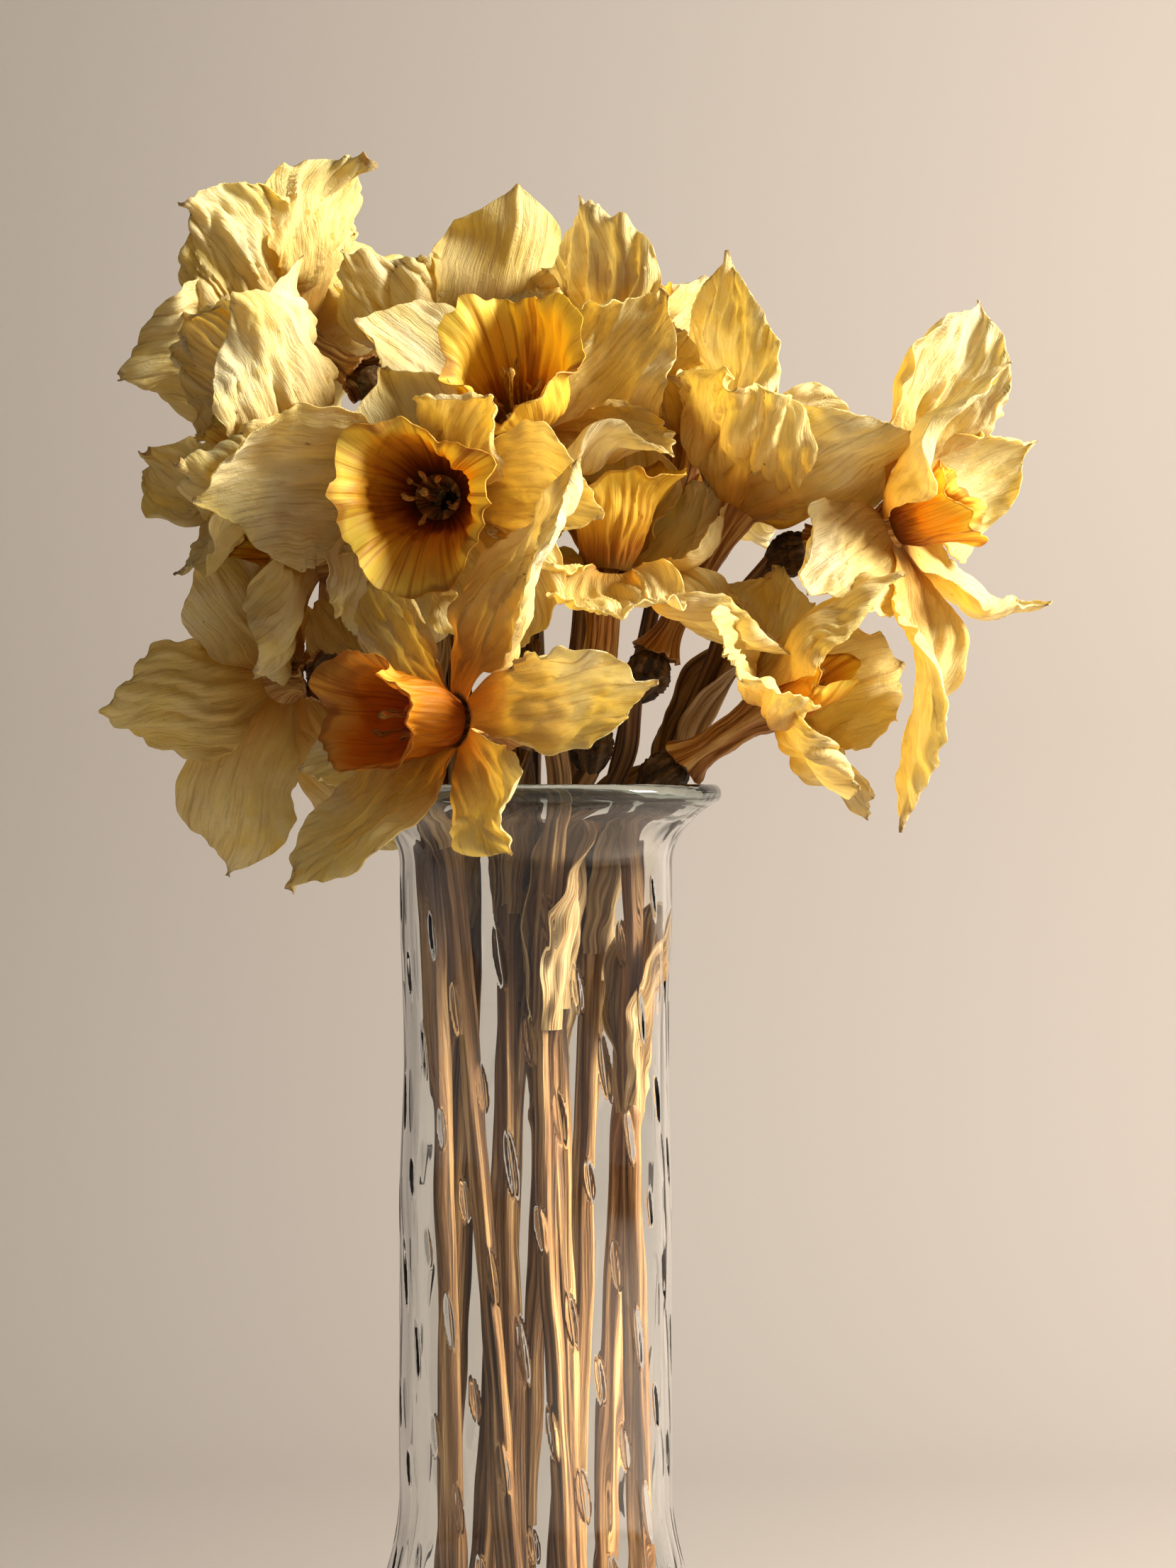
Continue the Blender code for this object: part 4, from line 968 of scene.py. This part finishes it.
def makeStage():
    # one pale sheet: a floor that curves up into a wall
    look = stageLook
    wallAt, bend = look["wallAt"], look["bend"]
    outline = [(-look["front"], 0.0), (wallAt - bend, 0.0)]
    outline += [(wallAt - bend + bend * math.sin(t), bend * (1 - math.cos(t)))
                for t in np.linspace(0.08, math.pi / 2, 24)]
    outline += [(wallAt, look["tall"])]
    grid = np.array([[(x, y, z) for x in np.linspace(-look["wide"], look["wide"], 24)] for y, z in outline])
    rows, columns = grid.shape[:2]
    at = np.arange(rows * columns).reshape(rows, columns)
    quads = np.stack([at[:-1, :-1], at[:-1, 1:], at[1:, 1:], at[1:, :-1]], -1).reshape(-1, 4)
    mesh = bpy.data.meshes.new("backdrop")
    mesh.from_pydata(grid.reshape(-1, 3).tolist(), [], quads.tolist())
    mesh.shade_smooth()
    finish, tree = startFinish("paleWall")
    spots = shade(tree, "TexCoord", out=3)
    tooth = shade(tree, "TexNoise", {"Vector": spots, "Scale": 180.0, "Detail": 4.0})
    bump = shade(tree, "Bump", {"Strength": 0.06, "Distance": 0.001, "Height": tooth})
    paint = shade(tree, "BsdfPrincipled", {"Base Color": look["wall"], "Roughness": 0.9, "Normal": bump,
                                           "Specular IOR Level": 0.1})
    # the sheet shows from its painted side only, so that it never hides the bunch
    behind = shade(tree, "NewGeometry", out=6)
    clear = shade(tree, "BsdfTransparent")
    oneSided = shade(tree, "MixShader", {0: behind, 1: paint, 2: clear})
    tree.links.new(oneSided, tree.nodes.new("ShaderNodeOutputMaterial").inputs[0])
    mesh.materials.append(finish)
    backdrop = added("backdrop", mesh)


lampLook = dict(
    window=dict(azimuth=77, height=25, far=0.85, size=(0.30, 0.44), power=25.5, tint=(1.0, 0.95, 0.80)),
    fill=dict(azimuth=-20, height=45, far=1.4, size=(0.9, 0.9), power=0.55, tint=(1.0, 0.97, 0.95)),
)
roomLook = dict(dim=(0.95, 0.94, 0.95, 1.0), dimStrength=0.10,
                pale=(0.72, 0.67, 0.64, 1.0), paleStrength=0.42)


def makeLamps():
    target = Vector((0.0, 0.0, rimHeight + 0.02))
    for name, look in lampLook.items():
        data = bpy.data.lights.new(name, "AREA")
        data.shape, data.size, data.size_y = "RECTANGLE", *look["size"]
        data.energy, data.color = look["power"], look["tint"]
        lamp = added(name, data)
        lamp.location = target + Vector(facing(look["azimuth"], look["height"])) * look["far"]
        lamp.rotation_euler = (target - lamp.location).to_track_quat("-Z", "Y").to_euler()
        lamp.visible_camera = False
    world = bpy.data.worlds.new("room")
    world.use_nodes = True
    tree = world.node_tree
    # soft light stays low, while glass and lens see a pale room
    seen, lit = [shade(tree, "Background", {0: roomLook[key], 1: roomLook[key + "Strength"]})
                 for key in ("pale", "dim")]
    mixed = shade(tree, "MixShader", {0: shade(tree, "LightPath", out=2), 1: seen, 2: lit})
    tree.links.new(mixed, tree.nodes["World Output"].inputs[0])
    bpy.context.scene.world = world


cameraLook = dict(aside=0.01064, away=0.622, lens=70.0, sensor=36.0)


def makeCamera():
    data = bpy.data.cameras.new("camera")
    data.lens, data.sensor_width = cameraLook["lens"], cameraLook["sensor"]
    camera = added("camera", data)
    camera.location = (cameraLook["aside"], -cameraLook["away"], rimHeight)
    camera.rotation_euler = (math.pi / 2, 0.0, 0.0)
    bpy.context.scene.camera = camera
    bpy.context.scene.view_settings.view_transform = "Standard"


makeStage()
makeLamps()
makeCamera()
print("stage, lamps and camera placed")
